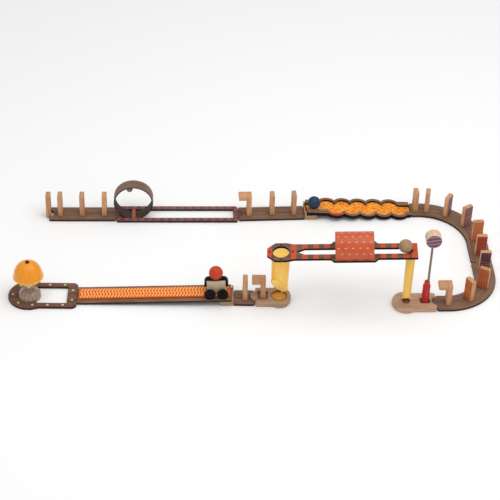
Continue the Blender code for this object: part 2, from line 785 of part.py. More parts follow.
def build_hammer(base, frame, station):
    """Red handle on a cross pin, with a stick and a drum-shaped head."""
    slot_size = (HAMMER_SLOT_LENGTH, HAMMER_SLOT_WIDTH, BASE_THICK + 2 * CUT_MARGIN)
    cut(base, box_mesh("hammer_slot", slot_size, (station, 0, BASE_THICK / 2)))
    across = (-math.pi / 2, 0, 0)
    pin_from = (station, -HAMMER_PIN_LENGTH / 2, PIVOT_HEIGHT)
    bore_length = HAMMER_PIN_LENGTH + 2 * SEAT_GAP
    bore_from = (station, -bore_length / 2, PIVOT_HEIGHT)
    cut(base, rod_mesh("pin_bore", HAMMER_PIN_RADIUS + SOCKET_CLEAR, bore_length), bore_from, across)
    pin = rod_mesh("hammer_pin", HAMMER_PIN_RADIUS, HAMMER_PIN_LENGTH)
    add_part("hammer_pin", pin, "steel", frame, pin_from, across)

    pivot = add_frame("hammer_pivot", frame, (station, 0, PIVOT_HEIGHT))
    foot = HANDLE_LIFT - PIVOT_HEIGHT
    profile = [
        (0, foot + HANDLE_HEIGHT),
        (HANDLE_TOP_RADIUS, foot + HANDLE_HEIGHT),
        (HANDLE_TOP_RADIUS, foot + HANDLE_SHOULDER + HANDLE_SHOULDER_SLOPE),
        (HANDLE_FOOT_RADIUS, foot + HANDLE_SHOULDER),
        (HANDLE_FOOT_RADIUS, foot),
        (0, foot),
    ]
    body = turned_mesh("handle", profile, False, SMALL_ROUND_STEPS)
    handle = add_part("hammer_handle", body, "red_paint", pivot)
    through = 2 * HANDLE_FOOT_RADIUS + 2 * CUT_MARGIN
    pin_hole = rod_mesh("handle_bore", HAMMER_PIN_RADIUS + SHAFT_CLEAR, through)
    cut(handle, pin_hole, (0, -through / 2, 0), across)
    handle_top = foot + HANDLE_HEIGHT
    stick_foot = handle_top - STICK_SEAT
    stick_hole = rod_mesh("stick_hole", STICK_RADIUS + SOCKET_CLEAR, STICK_SEAT + CUT_MARGIN)
    cut(handle, stick_hole, (STICK_OFFSET, 0, stick_foot - SEAT_GAP))
    stick = rod_mesh("hammer_stick", STICK_RADIUS, STICK_LENGTH)
    add_part("hammer_stick", stick, "beech", pivot, (STICK_OFFSET, 0, stick_foot))
    head_centre = (STICK_OFFSET, 0, stick_foot + STICK_LENGTH - HEAD_SEAT + HEAD_RADIUS)
    drum = rod_mesh("head", HEAD_RADIUS, HEAD_WIDTH, ROUND_STEPS)
    drum.transform(Matrix.Rotation(math.pi / 2, 4, "X") @ Matrix.Translation((0, 0, -HEAD_WIDTH / 2)))
    head = add_part("hammer_head", drum, "beech", pivot, head_centre)
    bevel(head, DOMINO_EDGE)
    seat = rod_mesh("head_seat", STICK_RADIUS + SOCKET_CLEAR, HEAD_SEAT + CUT_MARGIN)
    cut(head, seat, (0, 0, HEAD_SEAT + SEAT_GAP - HEAD_RADIUS - HEAD_SEAT - CUT_MARGIN))


RAIL_TILT = math.asin((RAIL_HIGH_END - RAIL_LOW_END) / TUBE_SPAN)


def rail_outline():
    """Rail from its square tail past the tunnel's tabs to the eight-sided ring."""
    half = RAIL_WIDTH / 2
    wide = TUNNEL_RADIUS + TUNNEL_SHEET + TUNNEL_TAB_PROUD
    tab = (TUNNEL_STATION - TUNNEL_TAB_LENGTH / 2, TUNNEL_STATION + TUNNEL_TAB_LENGTH / 2)
    edge = [
        (-RAIL_TAIL, half),
        (tab[0] - TUNNEL_TAB_SLOPE, half),
        (tab[0], wide),
        (tab[1], wide),
        (tab[1] + TUNNEL_TAB_SLOPE, half),
        (TUBE_SPAN - RING_SHOULDER, half),
    ]
    eighth = math.pi / 4
    ring = arc((TUBE_SPAN, 0), RING_RADIUS, 2.5 * eighth, -2.5 * eighth, eighth)
    return edge + ring + mirrored(edge)[::-1]


def build_rail(row_frame):
    """Raised rail on two tubes, with a tunnel over it and the tan ball at its high end."""
    frame = add_frame("rail_place", row_frame, (0, 0, RAIL_HIGH_END), (0, RAIL_TILT, RAIL_TURN))
    slot_half = RAIL_SLOT / 2
    slot_stop = TUBE_SPAN - RING_TO_SLOT
    slot = arc((SLOT_BACK, 0), slot_half, math.pi / 2, 1.5 * math.pi, 2 * ARC_STEP)
    slot += [(slot_stop - SLOT_POINT, -slot_half), (slot_stop, 0), (slot_stop - SLOT_POINT, slot_half)]
    round_hole = arc((TUBE_SPAN, 0), RING_HOLE, 0, 2 * math.pi)[:-1]
    hole = [(x, y * RING_HOLE_ACROSS / RING_HOLE) for x, y in round_hole]
    rail = flat_mesh("rail", [rail_outline(), slot, hole], RAIL_THICK)
    add_part("rail", rail, "printed_board", frame)

    outer = TUNNEL_RADIUS + TUNNEL_SHEET
    sheet = [(outer, 0), *arc((0, TUNNEL_LEG), outer, 0, math.pi), (-outer, 0), (-TUNNEL_RADIUS, 0)]
    sheet += [*arc((0, TUNNEL_LEG), TUNNEL_RADIUS, math.pi, 0), (TUNNEL_RADIUS, 0)]
    tunnel = upright_mesh("tunnel", [sheet], TUNNEL_LENGTH)
    tunnel_at = (TUNNEL_STATION, 0, RAIL_THICK + SEAT_GAP)
    add_part("tunnel", tunnel, "orange_board", frame, tunnel_at, (0, 0, math.pi / 2))

    reach = TAN_BALL_RADIUS + SEAT_GAP
    ball_height = RAIL_THICK + math.sqrt(reach**2 - slot_half**2)
    ball = ball_mesh("tan_ball", TAN_BALL_RADIUS)
    add_part("tan_ball", ball, "tan_stain", frame, (TAN_BALL_STATION, 0, ball_height))


def build_left_base(right_frame):
    """Left base with the big tube that the ball falls through, and the pocket of the next hook."""
    across = TUBE_SPAN * math.cos(RAIL_TILT)
    place = (across * math.cos(RAIL_TURN), across * math.sin(RAIL_TURN), 0)
    frame = add_frame("left_base_place", right_frame, place, (0, 0, LAST_TURN))
    outline = base_outline(LEFT_BASE_LENGTH, True, "tab", LEFT_LOBE_REACH)
    base = add_part("left_base", flat_mesh("left_base", [outline], BASE_THICK), "beech", frame)
    bevel(base, BASE_EDGE)
    socket_floor = BASE_THICK - BIG_TUBE_SEAT
    socket = rod_mesh("tube_socket", BIG_TUBE_FOOT + 2 * SOCKET_CLEAR, BASE_THICK, ROUND_STEPS)
    cut(base, socket, (0, 0, socket_floor))
    pocket_height = BASE_THICK - BOARD_THICK + CUT_MARGIN
    pocket_centre = POCKET_STATION + DOMINO_THICK / 2 + POCKET_LEAD - POCKET_LENGTH / 2
    pocket = box_mesh("hook_pocket", (POCKET_LENGTH, POCKET_WIDTH, pocket_height))
    cut(base, pocket, (pocket_centre, 0, BOARD_THICK + pocket_height / 2))
    hook("hook_3", frame, POCKET_STATION, True)

    tube_length = RAIL_LOW_END - SEAT_GAP - socket_floor - SEAT_GAP
    tube_length -= BIG_TUBE_RADIUS * math.sin(RAIL_TILT)
    tube = tapered_tube("big_tube", BIG_TUBE_RADIUS, BIG_TUBE_FOOT, BIG_TUBE_WALL, tube_length)
    part = add_part("big_tube", tube, "yellow_plastic", frame, (0, 0, socket_floor + SEAT_GAP))
    inner = BIG_TUBE_FOOT - BIG_TUBE_WALL
    cut_mouth(part, BIG_TUBE_RADIUS, inner, BIG_TUBE_SEAT, MOUTH_HEIGHT, MOUTH_TURN)
    return frame


def build_return_row(frame):
    """Last plank, the sloping ramp with the car, and the bell on its plate."""
    start = LEFT_BASE_LENGTH + BOARD_GAP
    board("plank_3", frame, start, PLANK_3_LENGTH, "notch", "plain")
    domino("domino_16", frame, start + PLANK_3_STATION)
    support_start = start + PLANK_3_LENGTH + SUPPORT_GAP
    support("ramp_support", frame, support_start)
    ramp_start = support_start + SUPPORT_WALL + SUPPORT_GAP
    ramp = ramp_frame("ramp", frame, ramp_start, RAMP_LENGTH)
    outline = [(x - RAMP_LENGTH, y) for x, y in rectangle(0, RAMP_LENGTH, RAMP_WIDTH / 2)]
    deck = flat_mesh("ramp_board", [outline], RAMP_THICK)
    bevel(add_part("ramp_board", deck, "brown_board", ramp), DOMINO_EDGE)
    strip_size = (RAMP_LENGTH - 2 * STRIP_END, STRIP_WIDTH, STRIP_HEIGHT)
    strip_centre = (-RAMP_LENGTH / 2, 0, RAMP_THICK + SEAT_GAP + STRIP_HEIGHT / 2)
    strip = box_mesh("ramp_strip", strip_size, strip_centre)
    bevel(add_part("ramp_strip", strip, "orange_board", ramp), DOMINO_EDGE)
    build_car(ramp)
    build_bell(frame, beyond_ramp(ramp, RAMP_THICK))


def build_car(ramp):
    """Car on two axles that straddles the strip: a stepped body, a round-shouldered block and a ball."""
    axle_height = RAMP_THICK + SEAT_GAP + WHEEL_RADIUS
    car = add_frame("car", ramp, (CAR_STATION - RAMP_LENGTH, 0, axle_height))
    body_centre = (0, 0, CAR_BODY_HEIGHT / 2 - CAR_BELOW_AXLE)
    body_mesh = box_mesh("car_body", (CAR_LENGTH, CAR_WIDTH, CAR_BODY_HEIGHT), body_centre)
    body = add_part("car_body", body_mesh, "beech", car)
    bevel(body, CAR_EDGE)
    ledge = CAR_LEDGE - CAR_BELOW_AXLE
    crown = CAR_BODY_HEIGHT - CAR_BELOW_AXLE
    seat_deep = CAR_WIDTH - CAR_PANEL
    seat_size = (CAR_LENGTH + 2 * CUT_MARGIN, seat_deep + CUT_MARGIN, crown - ledge + CUT_MARGIN)
    seat_centre = (0, (seat_deep - CUT_MARGIN - CAR_WIDTH) / 2, (ledge + crown + CUT_MARGIN) / 2)
    cut(body, box_mesh("car_seat", seat_size, seat_centre))

    half = CAR_TOP_LENGTH / 2
    bend = (half - CAR_SHOULDER, crown - CAR_SHOULDER)
    outline = [(-half, ledge + SEAT_GAP), (half, ledge + SEAT_GAP)]
    outline += arc(bend, CAR_SHOULDER, 0, math.pi / 2)
    outline += arc((-bend[0], bend[1]), CAR_SHOULDER, math.pi / 2, math.pi)
    top_deep = seat_deep - SEAT_GAP
    top_side = (top_deep - CAR_WIDTH) / 2
    shoulders = upright_mesh("car_top", [outline], top_deep)
    top = add_part("car_top", shoulders, "black_paint", car, (0, top_side, 0))
    bevel(top, CAR_EDGE)
    rider_height = crown + RIDER_RADIUS - RIDER_SEAT
    cut(top, ball_mesh("rider_seat", RIDER_RADIUS + SEAT_GAP), (0, 0, rider_height))
    rider = ball_mesh("rider_ball", RIDER_RADIUS)
    add_part("rider_ball", rider, "red_paint", car, (0, top_side, rider_height))

    wheel_inside = CAR_WIDTH / 2 + WHEEL_GAP
    axle_length = 2 * (wheel_inside + WHEEL_WIDTH + AXLE_PROUD)
    across = (-math.pi / 2, 0, 0)
    for place, station in (("front", WHEELBASE / 2), ("rear", -WHEELBASE / 2)):
        bore_length = CAR_WIDTH + 2 * CUT_MARGIN
        bore = rod_mesh("axle_bore", AXLE_RADIUS + SHAFT_CLEAR, bore_length)
        cut(body, bore, (station, -bore_length / 2, 0), across)
        axle_frame = add_frame(f"{place}_axle_line", car, (station, 0, 0))
        axle = rod_mesh(f"{place}_axle", AXLE_RADIUS, axle_length)
        add_part(f"{place}_axle", axle, "steel", axle_frame, (0, -axle_length / 2, 0), across)
        for side, inside in (("left", -wheel_inside - WHEEL_WIDTH), ("right", wheel_inside)):
            name = f"{place}_{side}_wheel"
            hub = AXLE_RADIUS + SOCKET_CLEAR
            tread = WHEEL_RADIUS - WHEEL_EDGE
            profile = [
                (hub, 0),
                (tread, 0),
                (WHEEL_RADIUS, WHEEL_EDGE),
                (WHEEL_RADIUS, WHEEL_WIDTH - WHEEL_EDGE),
                (tread, WHEEL_WIDTH),
                (hub, WHEEL_WIDTH),
            ]
            wheel = turned_mesh(name, profile, True, SMALL_ROUND_STEPS + BALL_RINGS // 2)
            add_part(name, wheel, "black_paint", axle_frame, (0, inside, 0), across)


def plate_outline():
    """Outline and keyhole of the bell plate, from its lobe's centre. The car comes from -X."""
    half = PLATE_WIDTH / 2
    waist = math.pi - math.asin(half / PLATE_LOBE)
    lobe = arc((0, 0), PLATE_LOBE, -waist, waist)
    near = [(-PLATE_LENGTH - u, -v) for u, v in end_profile("plain", half, PLATE_CORNER)]
    open_half = WINDOW_WIDTH / 2
    open_turn = math.pi - math.asin(WINDOW_REACH / PLATE_HOLE)
    keyhole = arc((0, 0), PLATE_HOLE, -open_turn, open_turn)
    far_x = -PLATE_LENGTH + WINDOW_START
    near_x = -PLATE_HOLE * math.cos(math.asin(WINDOW_REACH / PLATE_HOLE))
    keyhole += [(near_x, open_half), (far_x, open_half), (far_x, -open_half), (near_x, -open_half)]
    return [lobe + near[::-1], keyhole]


def build_bell(frame, start):
    """Bell plate, clear suction cup, and the bell on its stem."""
    place = add_frame("bell_place", frame, (start + PLATE_LENGTH, 0, 0))
    plate = flat_mesh("bell_plate", plate_outline(), BOARD_THICK)
    add_part("bell_plate", plate, "printed_board", place)

    dome = CUP_RADIUS - CUP_NECK
    rise = CUP_HEIGHT - CUP_RIM
    quarter = [math.pi / 2 * i / 4 for i in range(1, 5)]
    outside = [(CUP_NECK + dome * math.cos(a), CUP_RIM + rise * math.sin(a)) for a in quarter]
    cup_inside = CUP_RADIUS - CUP_WALL
    inside = [(cup_inside * math.cos(a), (CUP_HEIGHT - CUP_WALL) * math.sin(a)) for a in quarter]
    profile = [(0, CUP_HEIGHT), *outside[::-1], (CUP_RADIUS, CUP_RIM), (CUP_RADIUS, 0), (cup_inside, 0)]
    profile += [*inside[:-1], (0, CUP_HEIGHT - CUP_WALL)]
    add_part("suction_cup", turned_mesh("suction_cup", profile), "clear_plastic", place)

    pivot = add_frame("bell_pivot", place, (0, 0, CUP_HEIGHT))
    crown = BELL_RIM_HEIGHT + BELL_HEIGHT - CUP_HEIGHT
    stem_top = crown - BELL_WALL - SEAT_GAP
    stem_profile = [
        (0, stem_top),
        (STEM_RADIUS, stem_top),
        (STEM_RADIUS, STEM_TAPER),
        (STEM_FOOT, SEAT_GAP),
        (0, SEAT_GAP),
    ]
    stem_mesh = turned_mesh("bell_stem", stem_profile, False, SMALL_ROUND_STEPS)
    stem = add_part("bell_stem", stem_mesh, "clear_plastic", pivot)
    shank = SCREW_DEPTH + BELL_WALL + SEAT_GAP
    hole_foot = stem_top - SCREW_DEPTH - SEAT_GAP
    hole = rod_mesh("screw_hole", SCREW_RADIUS + SOCKET_CLEAR, SCREW_DEPTH + CUT_MARGIN)
    cut(stem, hole, (0, 0, hole_foot))

    bore = SCREW_RADIUS + SOCKET_CLEAR
    rim = BELL_RIM_HEIGHT - CUP_HEIGHT
    outer = [(BELL_RADIUS * r, rim + BELL_HEIGHT * z) for r, z in BELL_SHAPE]
    outer += [(STEM_RADIUS + BELL_CROWN_MARGIN, crown), (bore, crown)]
    hollow = BELL_HEIGHT - BELL_WALL
    inner = [(BELL_RADIUS * r - BELL_WALL, rim + hollow * z) for r, z in BELL_SHAPE]
    inner += [(STEM_RADIUS + BELL_CROWN_MARGIN, crown - BELL_WALL), (bore, crown - BELL_WALL)]
    bell_profile = [*outer[::-1], *inner]
    add_part("bell", turned_mesh("bell", bell_profile, True), "yellow_enamel", pivot)
    head_foot = crown + SEAT_GAP
    screw_profile = [
        (0, head_foot + SCREW_HEAD_HEIGHT),
        (SCREW_HEAD * 0.6, head_foot + SCREW_HEAD_HEIGHT),
        (SCREW_HEAD, head_foot),
        (SCREW_RADIUS, head_foot),
        (SCREW_RADIUS, head_foot - shank),
        (0, head_foot - shank),
    ]
    screw = turned_mesh("bell_screw", screw_profile, False, SMALL_ROUND_STEPS)
    add_part("bell_screw", screw, "steel", pivot)


def build_toy():
    """Lay the whole toy out from the start block to the bell."""
    swung_row = build_start_row()
    curve = build_swung_row(swung_row)
    return_row = build_curve(curve)
    right_frame = build_right_base(return_row)
    build_rail(right_frame)
    left_frame = build_left_base(right_frame)
    build_return_row(left_frame)


build_toy()
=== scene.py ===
"""Wooden chain reaction toy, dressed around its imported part: boards, dominoes, ramps, car and bell."""

import json
import logging
import math
from collections.abc import Callable, Iterable, Sequence
from dataclasses import dataclass
from enum import Enum
from typing import ClassVar

import bmesh
import bpy
from bmesh.types import BMesh, BMVert
from bpy.types import ID, Material, Mesh, NodeSocket, NodeTree, Object
from mathutils import Matrix, Vector
from mathutils.geometry import delaunay_2d_cdt

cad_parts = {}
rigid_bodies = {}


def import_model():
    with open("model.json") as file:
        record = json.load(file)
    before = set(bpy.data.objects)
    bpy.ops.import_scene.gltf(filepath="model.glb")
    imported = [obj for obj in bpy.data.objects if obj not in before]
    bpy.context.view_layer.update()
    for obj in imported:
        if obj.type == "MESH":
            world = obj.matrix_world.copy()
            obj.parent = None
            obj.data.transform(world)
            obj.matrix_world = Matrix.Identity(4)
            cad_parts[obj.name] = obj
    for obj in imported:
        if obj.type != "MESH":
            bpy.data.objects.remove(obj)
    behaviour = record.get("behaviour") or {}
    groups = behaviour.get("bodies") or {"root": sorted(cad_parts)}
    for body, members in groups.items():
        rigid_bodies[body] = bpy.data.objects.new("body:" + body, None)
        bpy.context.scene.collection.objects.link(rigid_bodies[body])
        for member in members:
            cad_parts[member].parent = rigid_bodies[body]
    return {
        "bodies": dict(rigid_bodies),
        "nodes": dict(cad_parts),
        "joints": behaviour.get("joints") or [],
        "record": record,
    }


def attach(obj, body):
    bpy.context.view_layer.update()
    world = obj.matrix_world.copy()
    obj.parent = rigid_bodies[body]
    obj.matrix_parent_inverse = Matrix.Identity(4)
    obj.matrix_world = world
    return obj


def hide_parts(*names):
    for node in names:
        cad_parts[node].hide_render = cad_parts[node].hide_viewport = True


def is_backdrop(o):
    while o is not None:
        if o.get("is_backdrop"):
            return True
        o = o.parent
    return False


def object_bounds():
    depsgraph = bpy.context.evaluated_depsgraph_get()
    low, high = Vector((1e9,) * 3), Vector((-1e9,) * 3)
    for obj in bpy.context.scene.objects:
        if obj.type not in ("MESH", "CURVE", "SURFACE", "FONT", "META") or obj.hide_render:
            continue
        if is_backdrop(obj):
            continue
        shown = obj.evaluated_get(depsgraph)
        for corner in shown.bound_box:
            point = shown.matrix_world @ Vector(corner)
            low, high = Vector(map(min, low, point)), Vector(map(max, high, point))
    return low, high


LOG = logging.getLogger("chain_reaction_toy")

MM = 0.001
LOCAL = "local_mm"  # each vertex's place in its piece's own frame, in millimetres
STOCK = "stock"  # one number per piece, so that no two pieces show the same grain
STOCK_SPREAD = 61.0  # how far apart two pieces lie in the grain's noise
GOLDEN = 0.618034
ARC_STEP = math.radians(4)
EASE_STEPS = 3
SHARP_ANGLE = math.radians(35)
MERGE = 1e-7
BOARD = 0.005  # thickness of every board
BOARD_EASE = 0.0006
SEAT = 0.0003  # gap that the part keeps under a seated piece
FIT = 0.00015  # play of a pin, a dowel or a tube in its bore
PIN_FIT = 0.00008
INK_RELIEF = 0.00012
PAST = 0.002  # how far a cutter reaches past what it cuts
CRISP = 0.0001  # edge radius of a cutter that leaves crisp corners
SOCKET = 0.01  # length of the rod that bores a tube's socket

ATTRIBUTE, BUMP, COMBINE = "ShaderNodeAttribute", "ShaderNodeBump", "ShaderNodeCombineXYZ"
MATH, MIX, NOISE = "ShaderNodeMath", "ShaderNodeMix", "ShaderNodeTexNoise"
USUAL = {MIX: {"data_type": "RGBA"}}  # settings that a kind of node has everywhere here
RAMP, RANGE, VECTORS = "ShaderNodeValToRGB", "ShaderNodeMapRange", "ShaderNodeVectorMath"
INDEX, POINTS, CURVE = "GeometryNodeInputIndex", "GeometryNodePoints", "GeometryNodeMeshToCurve"

Point = tuple[float, float]
Spot = tuple[float, float, float]
Loop = list[Point]
Paint = tuple[NodeSocket, NodeSocket]
Mapper = Callable[[Vector], Sequence[float]]
FaceRule = Callable[[Vector, Vector], int]


class Grain(Enum):
    """Which way the wood's grain runs in a piece's own frame."""

    X = 0
    Y = 1
    Z = 2


class End(Enum):
    """How a board ends."""

    PLAIN = "plain"
    TAB = "tab"
    NOTCH = "notch"


class Motif(Enum):
    """Plain pattern printed on a domino's painted side."""

    STRIPES = "stripes"
    DOTS = "dots"
    CHECKS = "checks"


# ---- Small tools for colour, nodes and meshes


def srgb(code: str) -> tuple[float, float, float, float]:
    """Turn an sRGB hex colour into linear RGBA.

    Args:
        code: Colour such as "#c08a5a".

    Returns:
        Linear red, green, blue and an alpha of 1.
    """
    channels = [int(code[i : i + 2], 16) / 255 for i in (1, 3, 5)]
    linear = [c / 12.92 if c <= 0.04045 else ((c + 0.055) / 1.055) ** 2.4 for c in channels]
    return (linear[0], linear[1], linear[2], 1.0)


def put(
    tree: NodeTree, kind: str, feeds: Sequence | dict = (), out: str | None = None, **settings: object
) -> NodeSocket | None:
    """Add a node, set it up and feed its inputs.

    Args:
        tree: Node tree of a material or of Geometry Nodes.
        kind: Blender's name of the node type; a name in capitals is an operation of the Math node.
        feeds: Socket to link, or value or hex colour to set, for the inputs in use in order, or by name.
        out: Name of the output to hand back, where it isn't the first one in use.
        settings: Properties of the node itself.

    Returns:
        That output; its node is reached through it.
    """
    if kind.isupper():
        kind, settings = MATH, {"operation": kind}
    node = tree.nodes.new(kind)
    for key, value in (USUAL.get(kind, {}) | settings).items():
        setattr(node, key, value)
    named = isinstance(feeds, dict)
    sockets = node.inputs if named else [socket for socket in node.inputs if socket.enabled]
    for key, value in feeds.items() if named else enumerate(feeds):
        if isinstance(value, NodeSocket):
            tree.links.new(value, sockets[key])
        else:
            sockets[key].default_value = srgb(value) if isinstance(value, str) else value
    return node.outputs[out] if out else next((s for s in node.outputs if s.enabled), None)


def shift(x: float = 0.0, y: float = 0.0, z: float = 0.0) -> Matrix:
    """A move along the axes."""
    return Matrix.Translation((x, y, z))


def spin(axis: str, degrees: float) -> Matrix:
    """A turn about an axis."""
    return Matrix.Rotation(math.radians(degrees), 4, axis)


ACROSS_Y = spin("X", -90)
ALONG_X = Matrix(((0, 0, 1, 0), (1, 0, 0, 0), (0, 1, 0, 0), (0, 0, 0, 1)))


def show(name: str, data: ID) -> Object:
    """Put a mesh, a lamp or a camera into the scene.

    Args:
        name: Name of the object.
        data: What it shows.

    Returns:
        The new object.
    """
    thing = bpy.data.objects.new(name, data)
    bpy.context.scene.collection.objects.link(thing)
    return thing


def arc(centre: Point, radius: float, start: float, stop: float, step: float = ARC_STEP) -> Loop:
    """Points along an arc, both ends included.

    Args:
        centre: Centre of the arc.
        radius: Its radius.
        start: Angle of the first point, in radians.
        stop: Angle of the last point.
        step: Largest angle between two points.

    Returns:
        The points in order.
    """
    count = max(2, math.ceil(abs(stop - start) / step))
    turns = [start + (stop - start) * i / count for i in range(count + 1)]
    return [(centre[0] + radius * math.cos(a), centre[1] + radius * math.sin(a)) for a in turns]


def rectangle(x0: float, x1: float, half: float) -> Loop:
    """A rectangle about the row's centre line."""
    return [(x0, -half), (x1, -half), (x1, half), (x0, half)]


def mirrored(points: Loop) -> Loop:
    """An edge turned over to the other side of the centre line."""
    return [(x, -y) for x, y in points]


def rounded(loop: Loop, radius: float, closed: bool = True, steps: int = 4) -> Loop:
    """Round the corners of an outline or of a turned profile.

    Args:
        loop: Corner points in order.
        radius: How far before and after a corner the round starts.
        closed: False keeps the first and last point as they are.
        steps: Segments in each round.

    Returns:
        The rounded points.
    """
    points: Loop = []
    for i, corner in enumerate(loop):
        if not closed and i in (0, len(loop) - 1):
            points.append(corner)
            continue
        here = Vector(corner)
        before = Vector(loop[i - 1]) - here
        after = Vector(loop[(i + 1) % len(loop)]) - here
        first = here + before.normalized() * min(radius, before.length * 0.45)
        last = here + after.normalized() * min(radius, after.length * 0.45)
        for k in range(steps + 1):
            t = k / steps
            spot = first * (1 - t) ** 2 + here * (2 * t * (1 - t)) + last * t * t
            points.append((spot.x, spot.y))
    return points


def smoothed(points: Loop, parts: int = 6) -> Loop:
    """Run a smooth curve through the points of a profile.

    Args:
        points: Points that the curve passes through.
        parts: Segments between two of them.

    Returns:
        The points of the finer profile.
    """
    fine: Loop = []
    spots = [Vector(p) for p in points]
    for i in range(len(spots) - 1):
        p0, p1, p2 = spots[max(i - 1, 0)], spots[i], spots[i + 1]
        p3 = spots[min(i + 2, len(spots) - 1)]
        for k in range(parts):
            t = k / parts
            bend = (2 * p0 - 5 * p1 + 4 * p2 - p3) * t * t + (3 * p1 - p0 - 3 * p2 + p3) * t**3
            spot = 0.5 * (2 * p1 + (p2 - p0) * t + bend)
            fine.append((spot.x, spot.y))
    return [*fine, points[-1]]


def mesh_from(work: BMesh, flat_caps: bool = False) -> Mesh:
    """Close a work mesh into a plain mesh that is smooth on rounds and crisp on corners.

    Args:
        work: Work mesh, freed here.
        flat_caps: Keep the flat faces that look up or down free of the round edge's shading.

    Returns:
        The mesh, with its faces pointing out.
    """
    bmesh.ops.recalc_face_normals(work, faces=work.faces)
    for face in work.faces:
        face.smooth = True
    for edge in work.edges:
        crisp = edge.calc_face_angle(0.0) > SHARP_ANGLE
        if flat_caps and len(edge.link_faces) == 2:
            level = [abs(face.normal.z) > 0.9999 for face in edge.link_faces]
            crisp = crisp or level[0] != level[1]
        edge.smooth = not crisp
    mesh = bpy.data.meshes.new("piece")
    work.to_mesh(mesh)
    work.free()
    return mesh


def inward(path: Loop) -> Loop:
    """Directions into the material at the corners of an outline, long enough to keep edges parallel.

    Args:
        path: Outline with the material on its left.

    Returns:
        One direction for each corner.
    """
    normals = []
    for i, (x, y) in enumerate(path):
        dx, dy = path[(i + 1) % len(path)][0] - x, path[(i + 1) % len(path)][1] - y
        size = math.hypot(dx, dy) or 1.0
        normals.append((-dy / size, dx / size))
    found = []
    for i, (nx, ny) in enumerate(normals):
        px, py = normals[i - 1]
        scale = 1 / max(0.3, 1 + nx * px + ny * py)
        found.append(((nx + px) * scale, (ny + py) * scale))
    return found


def cap(work: BMesh, rings: Sequence[Sequence[BMVert]], spacing: float, up: bool) -> None:
    """Fill a plate's face between its outline and its holes.

    Args:
        work: Work mesh that holds the rings.
        rings: Vertices of the outline and then of each hole.
        spacing: Distance of extra points inside the face, 0 for none.
        up: True where the face looks up.
    """
    corners = [vert for ring in rings for vert in ring]
    spots = [Vector((vert.co.x, vert.co.y)) for vert in corners]
    loops: list[list[int]] = []
    for ring in rings:
        first = sum(len(loop) for loop in loops)
        loops.append(list(range(first, first + len(ring))))
    level = corners[0].co.z
    if spacing:
        xs, ys = [p.x for p in spots], [p.y for p in spots]
        across = range(1, int((max(xs) - min(xs)) / spacing) + 1)
        along = range(1, int((max(ys) - min(ys)) / spacing) + 1)
        spots += [Vector((min(xs) + i * spacing, min(ys) + j * spacing)) for i in across for j in along]
    places, _, faces, sources, _, _ = delaunay_2d_cdt(spots, [], loops, 2, MERGE)
    made: dict[int, BMVert] = {}
    for face in faces:
        verts = []
        for index in face:
            source = min(sources[index], default=len(corners))
            if source < len(corners):
                verts.append(corners[source])
                continue
            if index not in made:
                made[index] = work.verts.new((places[index].x, places[index].y, level))
            verts.append(made[index])
        work.faces.new(verts if up else verts[::-1])


def plate(loops: Sequence[Loop], thick: float, ease: float, spacing: float = 0.0) -> Mesh:
    """Make a plate from Z = 0 up, with its upper and lower edges rounded.

    Args:
        loops: The outline, and then its holes.
        thick: Thickness.
        ease: Radius of the rounded edges.
        spacing: Distance of extra points on the faces, for patterns that follow a curve.

    Returns:
        The closed mesh.
    """
    work = bmesh.new()
    turns = [math.pi / 2 * k / EASE_STEPS for k in range(EASE_STEPS + 1)]
    upper = [(ease * (1 - math.sin(a)), thick - ease * (1 - math.cos(a))) for a in turns]
    profile = upper + [(inset, thick - z) for inset, z in reversed(upper)]
    tops, feet = [], []
    for number, loop in enumerate(loops):
        turn = sum(a[0] * b[1] - b[0] * a[1] for a, b in zip(loop, loop[1:] + loop[:1]))
        path = loop if (turn > 0) == (number == 0) else loop[::-1]
        ways = inward(path)
        rings = []
        for inset, z in profile:
            spots = [(x + wx * inset, y + wy * inset, z) for (x, y), (wx, wy) in zip(path, ways)]
            rings.append([work.verts.new(spot) for spot in spots])
        for high, low in zip(rings, rings[1:]):
            for i in range(len(path)):
                j = (i + 1) % len(path)
                work.faces.new((high[i], low[i], low[j], high[j]))
        tops.append(rings[0])
        feet.append(rings[-1])
    cap(work, tops, spacing, True)
    cap(work, feet, spacing, False)
    return mesh_from(work, True)


def upright(loops: Sequence[Loop], width: float, ease: float) -> Mesh:
    """Make a plate whose outline stands in X and Z, centred on Y = 0.

    Args:
        loops: The outline, and then its holes.
        width: Its thickness along Y.
        ease: Radius of the rounded edges.

    Returns:
        The closed mesh.
    """
    mesh = plate(loops, width, ease)
    mesh.transform(shift(y=width / 2) @ spin("X", 90))
    return mesh


def block(low: Sequence[float], high: Sequence[float], ease: float) -> Mesh:
    """Make a block with all of its edges rounded.

    Args:
        low: Its lowest corner.
        high: Its highest corner.
        ease: Radius of its edges.

    Returns:
        The closed mesh.
    """
    outline = [(low[0], low[1]), (high[0], low[1]), (high[0], high[1]), (low[0], high[1])]
    mesh = plate([rounded(outline, ease * 1.3)], high[2] - low[2], ease)
    mesh.transform(shift(z=low[2]))
    return mesh


def turned(profile: Loop, closed: bool = False, steps: int = 64) -> Mesh:
    """Turn a profile of radius and height about Z.

    Args:
        profile: Points of radius and height; a radius of 0 makes a pole.
        closed: True joins the last point to the first.
        steps: Faces round the axis.

    Returns:
        The closed mesh.
    """
    work = bmesh.new()
    angles = [2 * math.pi * k / steps for k in range(steps)]
    rings = []
    for r, z in profile:
        spots = [(r * math.cos(a), r * math.sin(a), z) for a in angles] if r > MERGE else [(0, 0, z)]
        rings.append([work.verts.new(spot) for spot in spots])
    pairs = list(zip(rings, rings[1:])) + ([(rings[-1], rings[0])] if closed else [])
    for first, second in pairs:
        for i in range(steps):
            j = (i + 1) % steps
            ring = [first[i % len(first)], second[i % len(second)]]
            ring += [second[j % len(second)], first[j % len(first)]]
            corners = list(dict.fromkeys(ring))
            if len(corners) > 2:
                work.faces.new(corners)
    return mesh_from(work)


